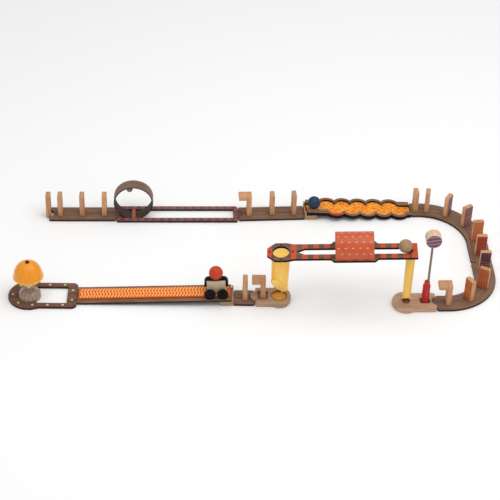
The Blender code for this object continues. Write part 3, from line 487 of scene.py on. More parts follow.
def rod(radius: float, length: float, place: Matrix, steps: int) -> Mesh:
    """Make a plain rod to cut a bore with.

    Args:
        radius: Radius of the bore.
        length: Length of the rod.
        place: Where it starts; it runs along this place's +Z.
        steps: Faces round it.

    Returns:
        The closed mesh.
    """
    mesh = turned([(0, 0), (radius, 0), (radius, length), (0, length)], steps=steps)
    mesh.transform(place)
    return mesh


def ball(radius: float, flat: float = 0.0016) -> Mesh:
    """A turned wooden ball, with the small flats that the lathe's centres leave on its Y axis.

    Args:
        radius: Radius of the ball.
        flat: Radius of the flats.

    Returns:
        The closed mesh.
    """
    low = math.asin(flat / radius)
    half = arc((0, 0), radius, -math.pi / 2 + low, math.pi / 2 - low)
    mesh = turned([(0, half[0][1]), *half, (0, half[-1][1])], steps=72)
    mesh.transform(ACROSS_Y)
    return mesh


def evaluated(helper: Object) -> Mesh:
    """Read a helper object with its modifiers as a plain mesh, then drop the helper.

    Args:
        helper: Object with live modifiers.

    Returns:
        The mesh that they make.
    """
    graph = bpy.context.evaluated_depsgraph_get()
    mesh = bpy.data.meshes.new_from_object(helper.evaluated_get(graph))
    bpy.data.objects.remove(helper, do_unlink=True)
    return mesh


def carve(mesh: Mesh, cutters: Iterable[Mesh]) -> Mesh:
    """Cut bores and pockets out of a mesh.

    Args:
        mesh: The blank.
        cutters: Meshes to take away from it.

    Returns:
        The carved mesh.
    """
    blank = show("blank", mesh)
    tools = [show("cutter", cutter) for cutter in cutters]
    for tool in tools:
        modifier = blank.modifiers.new("cut", "BOOLEAN")
        modifier.operation = "DIFFERENCE"
        modifier.solver = "EXACT"
        modifier.object = tool
    work = bmesh.new()
    work.from_mesh(evaluated(blank))
    for tool in tools:
        bpy.data.objects.remove(tool, do_unlink=True)
    bmesh.ops.remove_doubles(work, verts=work.verts, dist=MERGE)
    return mesh_from(work, True)


def joined(meshes: Sequence[Mesh], flat_caps: bool = True) -> Mesh:
    """Put closed meshes together as one piece, with its edges crisp or smooth as they should be.

    Args:
        meshes: One or more meshes.
        flat_caps: As in mesh_from.

    Returns:
        The one mesh.
    """
    work = bmesh.new()
    for mesh in meshes:
        work.from_mesh(mesh)
    return mesh_from(work, flat_caps)


def faces_by(mesh: Mesh, rule: FaceRule) -> Mesh:
    """Choose each face's finish from its centre and the way it looks, in the piece's own frame.

    Args:
        mesh: Mesh to mark.
        rule: Gives the number of the finish.

    Returns:
        The same mesh.
    """
    for face in mesh.polygons:
        face.material_index = rule(face.center, face.normal)
    return mesh


def top_or_side(_: Vector, normal: Vector) -> int:
    """Finish 0 for a board's printed face, finish 1 for its sides and its underside."""
    return 0 if normal.z > 0.4 else 1


# ---- Finishes


@dataclass(frozen=True)
class Finish:
    """How one real surface looks. Each kind of surface paints its own colour and relief."""

    name: str
    roughness: float
    shine: float = 0.25
    tooth: ClassVar[Point] = (0.03, 0.06)  # depth of the relief in millimetres, swing of the roughness

    def material(self) -> Material:
        """Make the material once and hand out the same one afterwards.

        Returns:
            The material, with its relief and its uneven gloss.
        """
        found = bpy.data.materials.get(self.name)
        if found:
            return found
        material = bpy.data.materials.new(self.name)
        material.use_nodes = True
        tree = material.node_tree
        tree.nodes.clear()
        colour, relief = self.paint(tree)
        depth, swing = self.tooth
        feeds = {"Height": relief, "Distance": depth * MM, "Strength": 0.6}
        links = {"Base Color": colour, "Normal": put(tree, BUMP, feeds)}
        limits = (0.3, 0.7, self.roughness + swing, self.roughness - swing)
        links["Roughness"] = put(tree, RANGE, (relief, *limits))
        surface = put(tree, "ShaderNodeBsdfPrincipled", self.even())
        for label, socket in links.items():
            tree.links.new(socket, surface.node.inputs[label])
        put(tree, "ShaderNodeOutputMaterial", {"Surface": surface})
        return material

    def even(self) -> dict[str, object]:
        """Values of the shader that are the same all over."""
        return {"Roughness": self.roughness, "Specular IOR Level": self.shine}

    def paint(self, tree: NodeTree) -> Paint:
        """Paint the surface; each finish does it in its own way.

        Args:
            tree: The material's tree.

        Returns:
            Sockets of the colour and of the relief.
        """
        raise NotImplementedError

    def parts(self, tree: NodeTree) -> bpy.types.bpy_prop_collection:
        """X, Y and Z of the surface in its piece's own frame, in millimetres."""
        place = put(tree, ATTRIBUTE, out="Vector", attribute_name=LOCAL)
        return put(tree, "ShaderNodeSeparateXYZ", (place,)).node.outputs

    def streaks(self, tree: NodeTree, size: Sequence[float], detail: float) -> NodeSocket:
        """Cloudy or streaky variation that differs from piece to piece.

        Args:
            tree: The material's tree.
            size: Length of a streak along X, Y and Z in millimetres.
            detail: How many finer layers it has.

        Returns:
            Socket that swings about 0.5.
        """
        place = put(tree, ATTRIBUTE, out="Vector", attribute_name=LOCAL)
        stock = put(tree, ATTRIBUTE, out="Fac", attribute_name=STOCK)
        spread = put(tree, VECTORS, (place, [1 / s for s in size]), operation="MULTIPLY")
        seed = put(tree, "MULTIPLY", (stock, STOCK_SPREAD))
        feeds = {"Vector": spread, "W": seed, "Scale": 1.0, "Detail": detail}
        return put(tree, NOISE, feeds, noise_dimensions="4D")


@dataclass(frozen=True)
class Timber(Finish):
    """Sanded and oiled or stained wood: soft bands, fine streaks along the grain and short flecks."""

    pale: str = "#d2a078"
    dark: str = "#b58058"
    fleck: str = "#8f5f3e"
    grain: Grain = Grain.Z
    band: float = 3.2
    tone: float = 0.10
    tooth: ClassVar[Point] = (0.05, 0.07)

    def lengths(self, across: float, along: float) -> list[float]:
        """Sizes of a streak along X, Y and Z, long in the way of the grain."""
        return [along if axis == self.grain.value else across for axis in range(3)]

    def paint(self, tree: NodeTree) -> Paint:
        """Pinkish bands a few millimetres wide, and dark ray flecks a couple of millimetres long.

        Args:
            tree: The material's tree.

        Returns:
            Sockets of the colour and of the relief.
        """
        bands = self.streaks(tree, self.lengths(self.band, self.band * 12), 3.0)
        wood = put(tree, RAMP, (bands,))
        for stop, at, colour in zip(wood.node.color_ramp.elements, (0.34, 0.64), (self.dark, self.pale)):
            stop.position, stop.color = at, srgb(colour)
        # real flecks are 0.1 mm wide; they are drawn at 0.7 mm so that they show
        flecks = self.streaks(tree, self.lengths(0.7, 4.5), 1.0)
        share = put(tree, RANGE, (flecks, 0.56, 0.72, 0.0, 0.7))
        flecked = put(tree, MIX, (share, wood, self.fleck))
        stock = put(tree, ATTRIBUTE, out="Fac", attribute_name=STOCK)
        value = put(tree, RANGE, (stock, 0.0, 1.0, 1 - self.tone, 1 + self.tone))
        return put(tree, "ShaderNodeHueSaturation", {"Value": value, "Color": flecked}), flecks


@dataclass(frozen=True)
class GrainPrint(Finish):
    """Paper foil with a printed wood grain on fibreboard: even, satin, streaks along the board."""

    base: str = "#7e5f4b"
    dark: str = "#634838"
    light: str = "#92735d"

    def paint(self, tree: NodeTree) -> Paint:
        """A satin foil: low relief, a dull sheen that breaks up along the streaks.

        Args:
            tree: The material's tree.

        Returns:
            Sockets of the colour and of the relief.
        """
        streaks = self.streaks(tree, (46.0, 2.2, 8.0), 4.0)
        foil = put(tree, RAMP, (streaks,))
        stops = foil.node.color_ramp.elements
        stops.new(0.5)
        for stop, at, colour in zip(stops, (0.33, 0.5, 0.7), (self.dark, self.base, self.light)):
            stop.position, stop.color = at, srgb(colour)
        return self.print_over(tree, foil), streaks

    def print_over(self, tree: NodeTree, under: NodeSocket) -> NodeSocket:
        """Colour of the foil with what is printed over its grain; the plain foil has no ink.

        Args:
            tree: The material's tree.
            under: Colour of the grain.

        Returns:
            Colour with the ink.
        """
        return under


@dataclass(frozen=True)
class RailPrint(GrainPrint):
    """The rail's foil: square ink blocks along both arms and inked ends."""

    ink: str = "#c4512f"
    pitch: float = 21.1
    first: float = 222.0
    low_stop: float = 0.0
    high_stop: float = 264.0
    blocks_to: float = 230.0

    def print_over(self, tree: NodeTree, under: NodeSocket) -> NodeSocket:
        """Blocks half a pitch long, with the tail and the ring's far end inked over.

        Args:
            tree: The material's tree.
            under: Colour of the grain.

        Returns:
            Colour with the ink.
        """
        x = self.parts(tree)[0]
        shifted = 0.25 - self.first / self.pitch
        phase = put(tree, "MULTIPLY_ADD", (x, 1 / self.pitch, shifted))
        part = put(tree, "FRACT", (phase,))
        inked = put(tree, "LESS_THAN", (part, 0.5))
        along = put(tree, "LESS_THAN", (x, self.blocks_to))
        blocks = put(tree, "MULTIPLY", (inked, along))
        tail = put(tree, "LESS_THAN", (x, self.low_stop))
        head = put(tree, "GREATER_THAN", (x, self.high_stop))
        ends = put(tree, "MAXIMUM", (tail, head))
        mask = put(tree, "MAXIMUM", (blocks, ends))
        return put(tree, MIX, (mask, under, self.ink))


@dataclass(frozen=True)
class FramePrint(GrainPrint):
    """The loop frame's foil: ink dashes along its border and an inked crossbar."""

    ink: str = "#a4513c"
    bar_ink: str = "#c25a3c"
    tab_ink: str = "#664c3d"
    pitch: float = 16.2
    tick_pitch: float = 11.0
    half_slot: float = 14.5
    border: Point = (19.7, 3.5)
    bar: Point = (35.0, 4.0)
    near_end: Point = (7.0, 3.2)
    far_end: Point = (244.2, 3.2)
    tab_start: float = 248.5

    def print_over(self, tree: NodeTree, under: NodeSocket) -> NodeSocket:
        """One row of dashes along each border, and checks across both ends.

        Args:
            tree: The material's tree.
            under: Colour of the grain.

        Returns:
            Colour with the ink.
        """
        x, y, _ = self.parts(tree)
        side = put(tree, "ABSOLUTE", (y,))
        phase = put(tree, "MULTIPLY", (x, 1 / self.pitch))
        part = put(tree, "FRACT", (phase,))
        dash = put(tree, "LESS_THAN", (part, 0.5))
        rim = put(tree, "COMPARE", (side, *self.border))
        arms = put(tree, "MULTIPLY", (dash, rim))
        cross = put(tree, "MULTIPLY_ADD", (y, 1 / self.tick_pitch, 0.25))
        tick = put(tree, "FRACT", (cross,))
        short = put(tree, "LESS_THAN", (tick, 0.5))
        near = put(tree, "COMPARE", (x, *self.near_end))
        far = put(tree, "COMPARE", (x, *self.far_end))
        both = put(tree, "MAXIMUM", (near, far))
        inner = put(tree, "LESS_THAN", (side, self.half_slot))
        ticks = put(tree, "MULTIPLY", (short, both))
        ends = put(tree, "MULTIPLY", (ticks, inner))
        dashes = put(tree, "MAXIMUM", (arms, ends))
        on_bar = put(tree, "COMPARE", (x, *self.bar))
        bar = put(tree, "MULTIPLY", (on_bar, inner))
        tab = put(tree, "GREATER_THAN", (x, self.tab_start))
        for mask, ink in ((dashes, self.ink), (bar, self.bar_ink), (tab, self.tab_ink)):
            under = put(tree, MIX, (mask, under, ink))
        return under


@dataclass(frozen=True)
class LobePrint(GrainPrint):
    """The wavy walls' foil: the outer part of the first lobe is inked, with a dark line along it."""

    ink: str = "#ad4a31"
    line_ink: str = "#45211a"
    lobe: Point = (-173.0, 17.0)
    rim: float = 3.1
    line: float = 1.0

    def print_over(self, tree: NodeTree, under: NodeSocket) -> NodeSocket:
        """Y holds the distance from the wall's inner edge, so the ink follows the lobe.

        Args:
            tree: The material's tree.
            under: Colour of the grain.

        Returns:
            Colour with the ink.
        """
        x, y, _ = self.parts(tree)
        along = put(tree, "COMPARE", (x, *self.lobe))
        for start, ink in ((self.rim - self.line, self.line_ink), (self.rim, self.ink)):
            outer = put(tree, "GREATER_THAN", (y, start))
            mask = put(tree, "MULTIPLY", (along, outer))
            under = put(tree, MIX, (mask, under, ink))
        return under


@dataclass(frozen=True)
class FibreEdge(Finish):
    """Sawn and dyed edge of fibreboard: matt, dark, with short fibres and a paler worn tone; the darkest copy
    also carries painted shade.
    """

    base: str = "#33251f"
    worn: str = "#54403a"
    tooth: ClassVar[Point] = (0.08, 0.06)

    def paint(self, tree: NodeTree) -> Paint:
        """Fibres are well under a millimetre long; they are drawn at 1.5 mm so that they show.

        Args:
            tree: The material's tree.

        Returns:
            Sockets of the colour and of the relief.
        """
        fibres = self.streaks(tree, (1.5, 1.5, 0.6), 2.0)
        patches = self.streaks(tree, (14.0, 14.0, 5.0), 2.0)
        both = put(tree, "MULTIPLY", (fibres, patches))
        share = put(tree, RANGE, (both, 0.16, 0.42, 0.0, 0.8))
        return put(tree, MIX, (share, self.base, self.worn)), fibres


@dataclass(frozen=True)
class Lacquer(Finish):
    """Sprayed colour lacquer on wood: a slight orange peel and a thinner, paler coat in places."""

    base: str = "#b8252b"
    thin: str = "#cf4a45"
    coat: float = 0.15
    tooth: ClassVar[Point] = (0.02, 0.06)

    def even(self) -> dict[str, object]:
        """A thin clear coat over the colour."""
        return super().even() | {"Coat Weight": self.coat, "Coat Roughness": 0.2}

    def paint(self, tree: NodeTree) -> Paint:
        """Orange peel of about a millimetre breaks the highlight; thin spots follow broad patches.

        Args:
            tree: The material's tree.

        Returns:
            Sockets of the colour and of the relief.
        """
        peel = self.streaks(tree, (1.1, 1.1, 1.1), 1.0)
        patches = self.streaks(tree, (9.0, 9.0, 14.0), 3.0)
        share = put(tree, RANGE, (patches, 0.42, 0.75, 0.0, 0.75))
        return put(tree, MIX, (share, self.base, self.thin)), peel


@dataclass(frozen=True)
class SpecklePrint(Finish):
    """Orange foil with a fine printed speckle of paler and browner grains."""

    base: str = "#f28013"
    brown: str = "#d8690f"
    pale: str = "#ffc050"
    tooth: ClassVar[Point] = (0.02, 0.05)

    def paint(self, tree: NodeTree) -> Paint:
        """Speckle of 2.6 mm, as coarse as the print shows at this distance.

        Args:
            tree: The material's tree.

        Returns:
            Sockets of the colour and of the relief.
        """
        grains = self.streaks(tree, (2.6, 2.6, 2.6), 0.0)
        light = put(tree, RANGE, (grains, 0.48, 0.41, 0.0, 0.85))
        dark = put(tree, RANGE, (grains, 0.56, 0.62, 0.0, 0.85))
        lit = put(tree, MIX, (light, self.base, self.pale))
        return put(tree, MIX, (dark, lit, self.brown)), grains


@dataclass(frozen=True)
class PanelPrint(Finish):
    """Silk-screened side of a domino: flat ink with the wood's pores, and a plain motif in a second ink."""

    ink: str = "#c0623a"
    second: str = "#e0a070"
    motif: Motif = Motif.STRIPES
    pore: str = "#b98a66"
    pitch: float = 5.2
    motif_top: float = 26.0
    tooth: ClassVar[Point] = (0.04, 0.06)

    def paint(self, tree: NodeTree) -> Paint:
        """The motif fills the lower part; ink is a little thin over the pores.

        Args:
            tree: The material's tree.

        Returns:
            Sockets of the colour and of the relief.
        """
        _, y, z = self.parts(tree)
        rows = put(tree, "MULTIPLY", (z, 1 / self.pitch))
        row = put(tree, "FRACT", (rows,))
        columns = put(tree, "MULTIPLY_ADD", (y, 1 / self.pitch, 0.5))
        column = put(tree, "FRACT", (columns,))
        marks = put(tree, "COMPARE", (row, 0.5, 0.2))
        if self.motif is Motif.CHECKS:
            posts = put(tree, "COMPARE", (column, 0.5, 0.25))
            marks = put(tree, "MULTIPLY", (marks, posts))
        if self.motif is Motif.DOTS:
            spot = put(tree, COMBINE, (column, row, 0.5))
            far = put(tree, VECTORS, (spot, (0.5, 0.5, 0.5)), operation="DISTANCE")
            marks = put(tree, "LESS_THAN", (far, 0.24))
        low = put(tree, "LESS_THAN", (z, self.motif_top))
        mask = put(tree, "MULTIPLY", (marks, low))
        pores = self.streaks(tree, (0.9, 0.9, 7.0), 2.0)
        share = put(tree, RANGE, (pores, 0.5, 0.72, 0.0, 0.35))
        inked = put(tree, MIX, (mask, self.ink, self.second))
        return put(tree, MIX, (share, inked, self.pore)), pores


@dataclass(frozen=True)
class DiscPrint(Finish):
    """Printed paper disc on the hammer's head: slanted bands in two close inks."""

    ink: str = "#6f4f63"
    second: str = "#a77f86"
    pitch: float = 8.0
    slant: float = 0.16
    wander: float = 3.0
    tooth: ClassVar[Point] = (0.02, 0.05)

    def paint(self, tree: NodeTree) -> Paint:
        """Bands a few millimetres wide that wander a little, on slightly mottled paper.

        Args:
            tree: The material's tree.

        Returns:
            Sockets of the colour and of the relief.
        """
        x, _, z = self.parts(tree)
        lean = put(tree, "MULTIPLY_ADD", (x, self.slant, z))
        drift = self.streaks(tree, (7.0, 7.0, 7.0), 1.0)
        bent = put(tree, "MULTIPLY_ADD", (drift, self.wander, lean))
        rows = put(tree, "MULTIPLY", (bent, 1 / self.pitch))
        row = put(tree, "FRACT", (rows,))
        band = put(tree, "COMPARE", (row, 0.5, 0.17))
        mixed = put(tree, MIX, (band, self.ink, self.second))
        return mixed, self.streaks(tree, (0.8, 0.8, 0.8), 2.0)


@dataclass(frozen=True)
class Moulded(Finish):
    """Moulded see-through plastic: smooth, tinted, with faint flow lines from the mould."""

    base: str = "#ffd162"
    deep: str = "#ffc850"
    transmission: float = 0.2
    ior: float = 1.49
    flow: Spot = (9.0, 9.0, 40.0)
    glow: float = 0.0
    tooth: ClassVar[Point] = (0.03, 0.04)

    def even(self) -> dict[str, object]:
        """The glow stands in for the light that the thin wall lets through from its other side."""
        clear = {"Transmission Weight": self.transmission, "IOR": self.ior}
        return super().even() | clear | {"Emission Color": srgb(self.deep), "Emission Strength": self.glow}

    def paint(self, tree: NodeTree) -> Paint:
        """Flow lines run along the moulding and shift its tint by a little.

        Args:
            tree: The material's tree.

        Returns:
            Sockets of the colour and of the relief.
        """
        flow = self.streaks(tree, self.flow, 2.0)
        share = put(tree, RANGE, (flow, 0.35, 0.65, 0.0, 1.0))
        return put(tree, MIX, (share, self.base, self.deep)), flow


@dataclass(frozen=True)
class BellEnamel(Finish):
    """Glossy amber coating on a pressed metal bell: paler towards the rim."""

    base: str = "#f0981c"
    rim: str = "#f6b444"
    deep: str = "#e48514"
    rim_height: float = 31.0
    crown_height: float = 64.0
    tooth: ClassVar[Point] = (0.03, 0.05)

    def even(self) -> dict[str, object]:
        """A clear, smooth coat."""
        return super().even() | {"Coat Weight": 0.5, "Coat Roughness": 0.06}

    def paint(self, tree: NodeTree) -> Paint:
        """Colour follows the height above the stem's foot, with a soft mottle under the gloss.

        Args:
            tree: The material's tree.

        Returns:
            Sockets of the colour and of the relief.
        """
        z = self.parts(tree)[2]
        height = put(tree, RANGE, (z, self.rim_height, self.crown_height, 0.0, 1.0))
        graded = put(tree, RAMP, (height,))
        for stop, at, colour in zip(graded.node.color_ramp.elements, (0.02, 0.16), (self.rim, self.base)):
            stop.position, stop.color = at, srgb(colour)
        mottle = self.streaks(tree, (6.0, 6.0, 6.0), 2.0)
        share = put(tree, RANGE, (mottle, 0.45, 0.75, 0.0, 0.8))
        return put(tree, MIX, (share, graded, self.deep)), mottle


@dataclass(frozen=True)
class DrawnSteel(Finish):
    """Drawn steel wire and zinc-plated screws: fine lines along the draw. It also dresses CAD pins."""

    base: str = "#8d8d90"
    dark: str = "#5e5e62"
    tooth: ClassVar[Point] = (0.01, 0.08)

    def even(self) -> dict[str, object]:
        """Bare metal."""
        return super().even() | {"Metallic": 1.0}

    def paint(self, tree: NodeTree) -> Paint:
        """Lines of a fifth of a millimetre, read from Object coordinates, which CAD nodes have too.

        Args:
            tree: The material's tree.

        Returns:
            Sockets of the colour and of the relief.
        """
        place = put(tree, "ShaderNodeTexCoord", out="Object")
        spread = put(tree, VECTORS, (place, (5000.0, 300.0, 5000.0)), operation="MULTIPLY")
        lines = put(tree, NOISE, {"Vector": spread, "Scale": 1.0, "Detail": 2.0})
        return put(tree, MIX, (lines, self.dark, self.base)), lines


BEECH = Timber("sanded_beech_upright", 0.55, 0.3)
BEECH_FLAT = Timber("sanded_beech_lying", 0.55, 0.3, "#c8a386", "#ae8868", "#8a674b", Grain.X, 4.5, 0.0)
BEECH_DARK = Timber("aged_beech_lying", 0.55, 0.3, "#bb987c", "#9f7c61", "#7a5c46", Grain.X, 4.5, 0.0)
# Painted amber light on the big tube's socket floor and wall, as light through the tube would cast it.
SOCKET_AMBER_LIGHT = Timber("socket_painted_amber_light", 0.5, 0.3, "#e0aa50", "#cf9440", "#a8742e", Grain.X, 4.0, 0.0)
BEECH_CROSS = Timber("sanded_beech_cross_cut", 0.55, 0.3, "#b89474", "#9a7657", "#7a5940", Grain.Y, 3.6, 0.04)
BEECH_GREY = Timber("weathered_beech_dowel", 0.6, 0.3, "#96846f", "#7b6a56", "#625342", Grain.Z, 2.4, 0.03)
BEECH_PALE = Timber("pale_beech_drum", 0.5, 0.3, "#e6c9ab", "#d0ab88", "#b78d6a", Grain.Y, 3.0, 0.02)
BEECH_CAR = Timber("bare_beech_panel", 0.55, 0.3, "#d8c2a8", "#c0a589", "#a0816a", Grain.X, 3.0, 0.02)
BLUE_STAIN = Timber("blue_stained_beech", 0.4, 0.25, "#2e4064", "#1f2e49", "#17223a", Grain.Y, 4.0, 0.0)
TAN_STAIN = Timber("tan_stained_beech", 0.45, 0.25, "#ae8f6b", "#937554", "#775b3d", Grain.Y, 4.0, 0.0)
RED_STAIN = Timber("red_stained_beech", 0.4, 0.25, "#cc4627", "#b4371c", "#8c2812", Grain.Y, 4.5, 0.0)
WALNUT_FOIL = GrainPrint("walnut_print_foil", 0.5, 0.2)
PLATE_FOIL = GrainPrint("dark_walnut_print_foil", 0.5, 0.2, "#6a4f3f", "#4f3a2e", "#7d6150")
HOOP_FOIL = GrainPrint("walnut_veneer_hoop", 0.5, 0.2, "#7c5f4e", "#5c4538", "#917463")
WAVE_REAR_FOIL = LobePrint("walnut_print_foil_rear_lobe", 0.5, 0.2)
WAVE_FRONT_FOIL = LobePrint("walnut_print_foil_front_lobe", 0.5, 0.2, lobe=(-156.5, 17.0))
RAIL_FOIL = RailPrint("walnut_print_foil_red_blocks", 0.5, 0.2, "#6e5243", "#523c31", "#82654f")
FRAME_FOIL = FramePrint("plum_print_foil_red_checks", 0.5, 0.2, "#5e4c57", "#4b3c45", "#72606a")
EDGE = FibreEdge("dyed_fibreboard_edge", 0.75, 0.12)
# Nearly black edge: dyed fibreboard darkened further with painted shade, for sides and inner wall faces that
# sit in shade.
DARK_EDGE_AND_SHADE = FibreEdge("black_dyed_fibreboard_edge_and_painted_shade", 0.7, 0.12, "#1a0d0a", "#30201b")
# Inside of the hoop: bare fibre, darkened further with painted shade for the shade inside the hoop.
BARE_HOOP_AND_SHADE = FibreEdge("hoop_inner_fibre_and_painted_shade", 0.7, 0.12, "#463732", "#5d4c46")
RED_LACQUER = Lacquer("red_lacquer", 0.3, 0.3, "#b52226", "#c63834", 0.05)
BLACK_LACQUER = Lacquer("black_lacquer", 0.4, 0.1, "#060607", "#0f0f11", 0.0)
TUNNEL_INK = Lacquer("orange_red_card", 0.35, 0.4, "#c4502b", "#d0643a", 0.1)
DASH_INK = Lacquer("pale_dash_ink", 0.5, 0.2, "#eda868", "#f2b880", 0.0)
STRIP_INK = Lacquer("orange_strip_ink", 0.45, 0.2, "#d8580f", "#e0661c", 0.05)
SLAT_INK = Lacquer("light_slat_ink", 0.5, 0.2, "#ffb866", "#ffc47c", 0.0)
YELLOW_INK = Lacquer("pale_yellow_ink", 0.5, 0.2, "#e8c070", "#efcf8c", 0.0)
DULL_RED_INK = Lacquer("dull_red_ink", 0.5, 0.2, "#8a4038", "#9a5247", 0.0)
DARK_RED_INK = Lacquer("dark_red_ink", 0.5, 0.2, "#3a0f0c", "#4c1a14", 0.0)
SPECKLE = SpecklePrint("orange_speckle_foil", 0.5, 0.2)
DISC = DiscPrint("plum_paper_disc", 0.5, 0.2)
# Both tubes glow faintly: painted light for what their thin walls let through.
YELLOW_TUBE = Moulded("amber_acrylic_tube", 0.18, 0.5, glow=0.02)
SMALL_TUBE = Moulded("amber_acrylic_small_tube", 0.18, 0.5, glow=0.07)
# The big tube's inside is a paler copy with a stronger glow: painted light.
TUBE_INSIDE_GLOW = Moulded("amber_acrylic_tube_inside_painted_glow", 0.25, 0.5, "#fff0ac", "#ffe47e", glow=0.16)
# Dark brown copy of the tube for its foot in the socket and the small tube's inside: painted shade.
TUBE_FOOT_SHADE = Moulded("amber_acrylic_tube_foot_painted_shade", 0.3, 0.5, "#a8682a", "#905622")
CLEAR_CUP = Moulded("clear_soft_vinyl", 0.16, 0.5, "#ead9ca", "#dcc6b4", 0.75, 1.45, (6.0, 6.0, 6.0))
AMBER = BellEnamel("amber_bell_enamel", 0.25, 0.15)
STEEL = DrawnSteel("drawn_steel", 0.35, 0.5)
BLACK_PIN = DrawnSteel("blackened_steel_axle", 0.45, 0.5, "#2a2a2d", "#161618")
BROWN_SCREW = DrawnSteel("browned_steel_screw", 0.5, 0.5, "#5a4436", "#33261e")
PANELS = {
    "domino_09": PanelPrint("plum_dot_panel", 0.5, 0.2, "#7b5458", "#9a7472", Motif.DOTS),
    "domino_10": PanelPrint("plum_stripe_panel", 0.5, 0.2, "#86555a", "#a57a78", Motif.STRIPES),
    "domino_11": PanelPrint("orange_dot_panel", 0.5, 0.2, "#c06a3e", "#d98d5e", Motif.DOTS),
    "domino_12": PanelPrint("red_check_panel", 0.5, 0.2, "#9a3a29", "#c4644a", Motif.CHECKS),
    "domino_13": PanelPrint("dark_plum_stripe_panel", 0.5, 0.2, "#54303a", "#8a5a58", Motif.STRIPES),
    "domino_14": PanelPrint("orange_check_panel", 0.5, 0.2, "#b15c34", "#cf8557", Motif.CHECKS),
    "domino_15": PanelPrint("orange_stripe_panel", 0.5, 0.2, "#b8622f", "#d28a58", Motif.STRIPES),
}

# ---- Geometry Nodes


class GrownShape:
    """A Geometry Nodes tree with named inputs, which is run and kept as a plain mesh."""

    def __init__(self, name: str, counts: Sequence[str], sizes: Sequence[str]) -> None:
        """Start a tree.

        Args:
            name: What it makes.
            counts: Names of its inputs that are whole numbers.
            sizes: Names of its other inputs.
        """
        self.tree = bpy.data.node_groups.new(name, "GeometryNodeTree")
        face = self.tree.interface
        face.new_socket("Geometry", in_out="OUTPUT", socket_type="NodeSocketGeometry")
        kinds = {"Geometry": "Geometry", "Finish": "Material"}
        kinds |= dict.fromkeys(counts, "Int") | dict.fromkeys(sizes, "Float")
        for label, kind in kinds.items():
            face.new_socket(label, in_out="INPUT", socket_type=f"NodeSocket{kind}")
        self.given = put(self.tree, "NodeGroupInput").node.outputs

    def end(self, shape: NodeSocket) -> "GrownShape":
        """Turn what the tree made into real faces in the chosen finish.

        Args:
            shape: Socket of the geometry or of its instances.

        Returns:
            The tree, ready to grow.
        """
        real = put(self.tree, "GeometryNodeRealizeInstances", (shape,))
        feeds = {"Geometry": real, "Material": self.given["Finish"]}
        put(self.tree, "NodeGroupOutput", (put(self.tree, "GeometryNodeSetMaterial", feeds),))
        return self

    def repeat(self, points: NodeSocket, shape: NodeSocket, axis: str, angle: NodeSocket) -> "GrownShape":
        """Set a shape on every point, turned about one axis, and end the tree.

        Args:
            points: Where the shapes go.
            shape: What is repeated.
            axis: Axis of the turn.
            angle: The turn at each point, in radians.

        Returns:
            The tree, ready to grow.
        """
        rotation = put(self.tree, "FunctionNodeEulerToRotation", (put(self.tree, COMBINE, {axis: angle}),))
        feeds = {"Points": points, "Instance": shape, "Rotation": rotation}
        return self.end(put(self.tree, "GeometryNodeInstanceOnPoints", feeds))

    def grow(
        self, finish: Finish, sizes: dict[str, float], path: Sequence[Spot] = (), closed: bool = False
    ) -> Mesh:
        """Run the tree.

        Args:
            finish: Finish of the result.
            sizes: A value for each named input.
            path: Points of a path to follow, if the tree needs one.
            closed: True where the path comes back to its start.

        Returns:
            A plain mesh that has its material.
        """
        seed = bpy.data.meshes.new("path")
        count = len(path)
        seed.from_pydata(path, [(i, (i + 1) % count) for i in range(count if closed else count - 1)], [])
        helper = show("grown", seed)
        modifier = helper.modifiers.new("grown", "NODES")
        modifier.node_group = self.tree
        sockets = {item.name: item for item in self.tree.interface.items_tree if item.in_out == "INPUT"}
        for label, value in (sizes | {"Finish": finish.material()}).items():
            modifier[sockets[label].identifier] = value
        return evaluated(helper)


def dots_along() -> GrownShape:
    """Tree of low round dots of ink, evenly spaced along a path.

    Returns:
        The tree.
    """
    shape = GrownShape("ink_dots", ("Count",), ("Start", "Radius", "Relief"))
    tree, given = shape.tree, shape.given
    curve = put(tree, CURVE, {"Mesh": given["Geometry"]})
    points = put(tree, POINTS, {"Count": given["Count"]})
    place = put(tree, "ADD", (put(tree, INDEX), given["Start"]))
    share = put(tree, "DIVIDE", (place, given["Count"]))
    spot = put(tree, "GeometryNodeSampleCurve", {"Curves": curve, "Factor": share}, "Position", mode="FACTOR")
    spread = put(tree, "GeometryNodeSetPosition", {"Geometry": points, "Position": spot})
    feeds = {"Vertices": 20, "Radius Top": 0.86, "Radius Bottom": 1.0, "Depth": 1.0}
    dot = put(tree, "GeometryNodeMeshCone", feeds)
    size = put(tree, COMBINE, (given["Radius"], given["Radius"], given["Relief"]))
    feeds = {"Points": spread, "Instance": dot, "Scale": size}
    return shape.end(put(tree, "GeometryNodeInstanceOnPoints", feeds))


def herringbone() -> GrownShape:
    """Tree of slanted slats in rows, each row leaning the other way.

    Returns:
        The tree.
    """
    sizes = ("Length", "Row Width", "Slant", "Slat Length", "Slat Width", "Relief")
    shape = GrownShape("herringbone_slats", ("Columns", "Rows"), sizes)
    tree, given = shape.tree, shape.given
    last = put(tree, "SUBTRACT", (given["Rows"], 1.0))
    wide = put(tree, "MULTIPLY", (last, given["Row Width"]))
    feeds = {"Size X": given["Length"], "Size Y": wide}
    feeds |= {"Vertices X": given["Columns"], "Vertices Y": given["Rows"]}
    grid = put(tree, "GeometryNodeMeshGrid", feeds)
    row = put(tree, "MODULO", (put(tree, INDEX), given["Rows"]))
    odd = put(tree, "MODULO", (row, 2.0))
    sign = put(tree, "MULTIPLY_ADD", (odd, 2.0, -1.0))
    turn = put(tree, "MULTIPLY", (sign, given["Slant"]))
    size = put(tree, COMBINE, (given["Slat Width"], given["Slat Length"], given["Relief"]))
    return shape.repeat(grid, put(tree, "GeometryNodeMeshCube", {"Size": size}), "Z", turn)


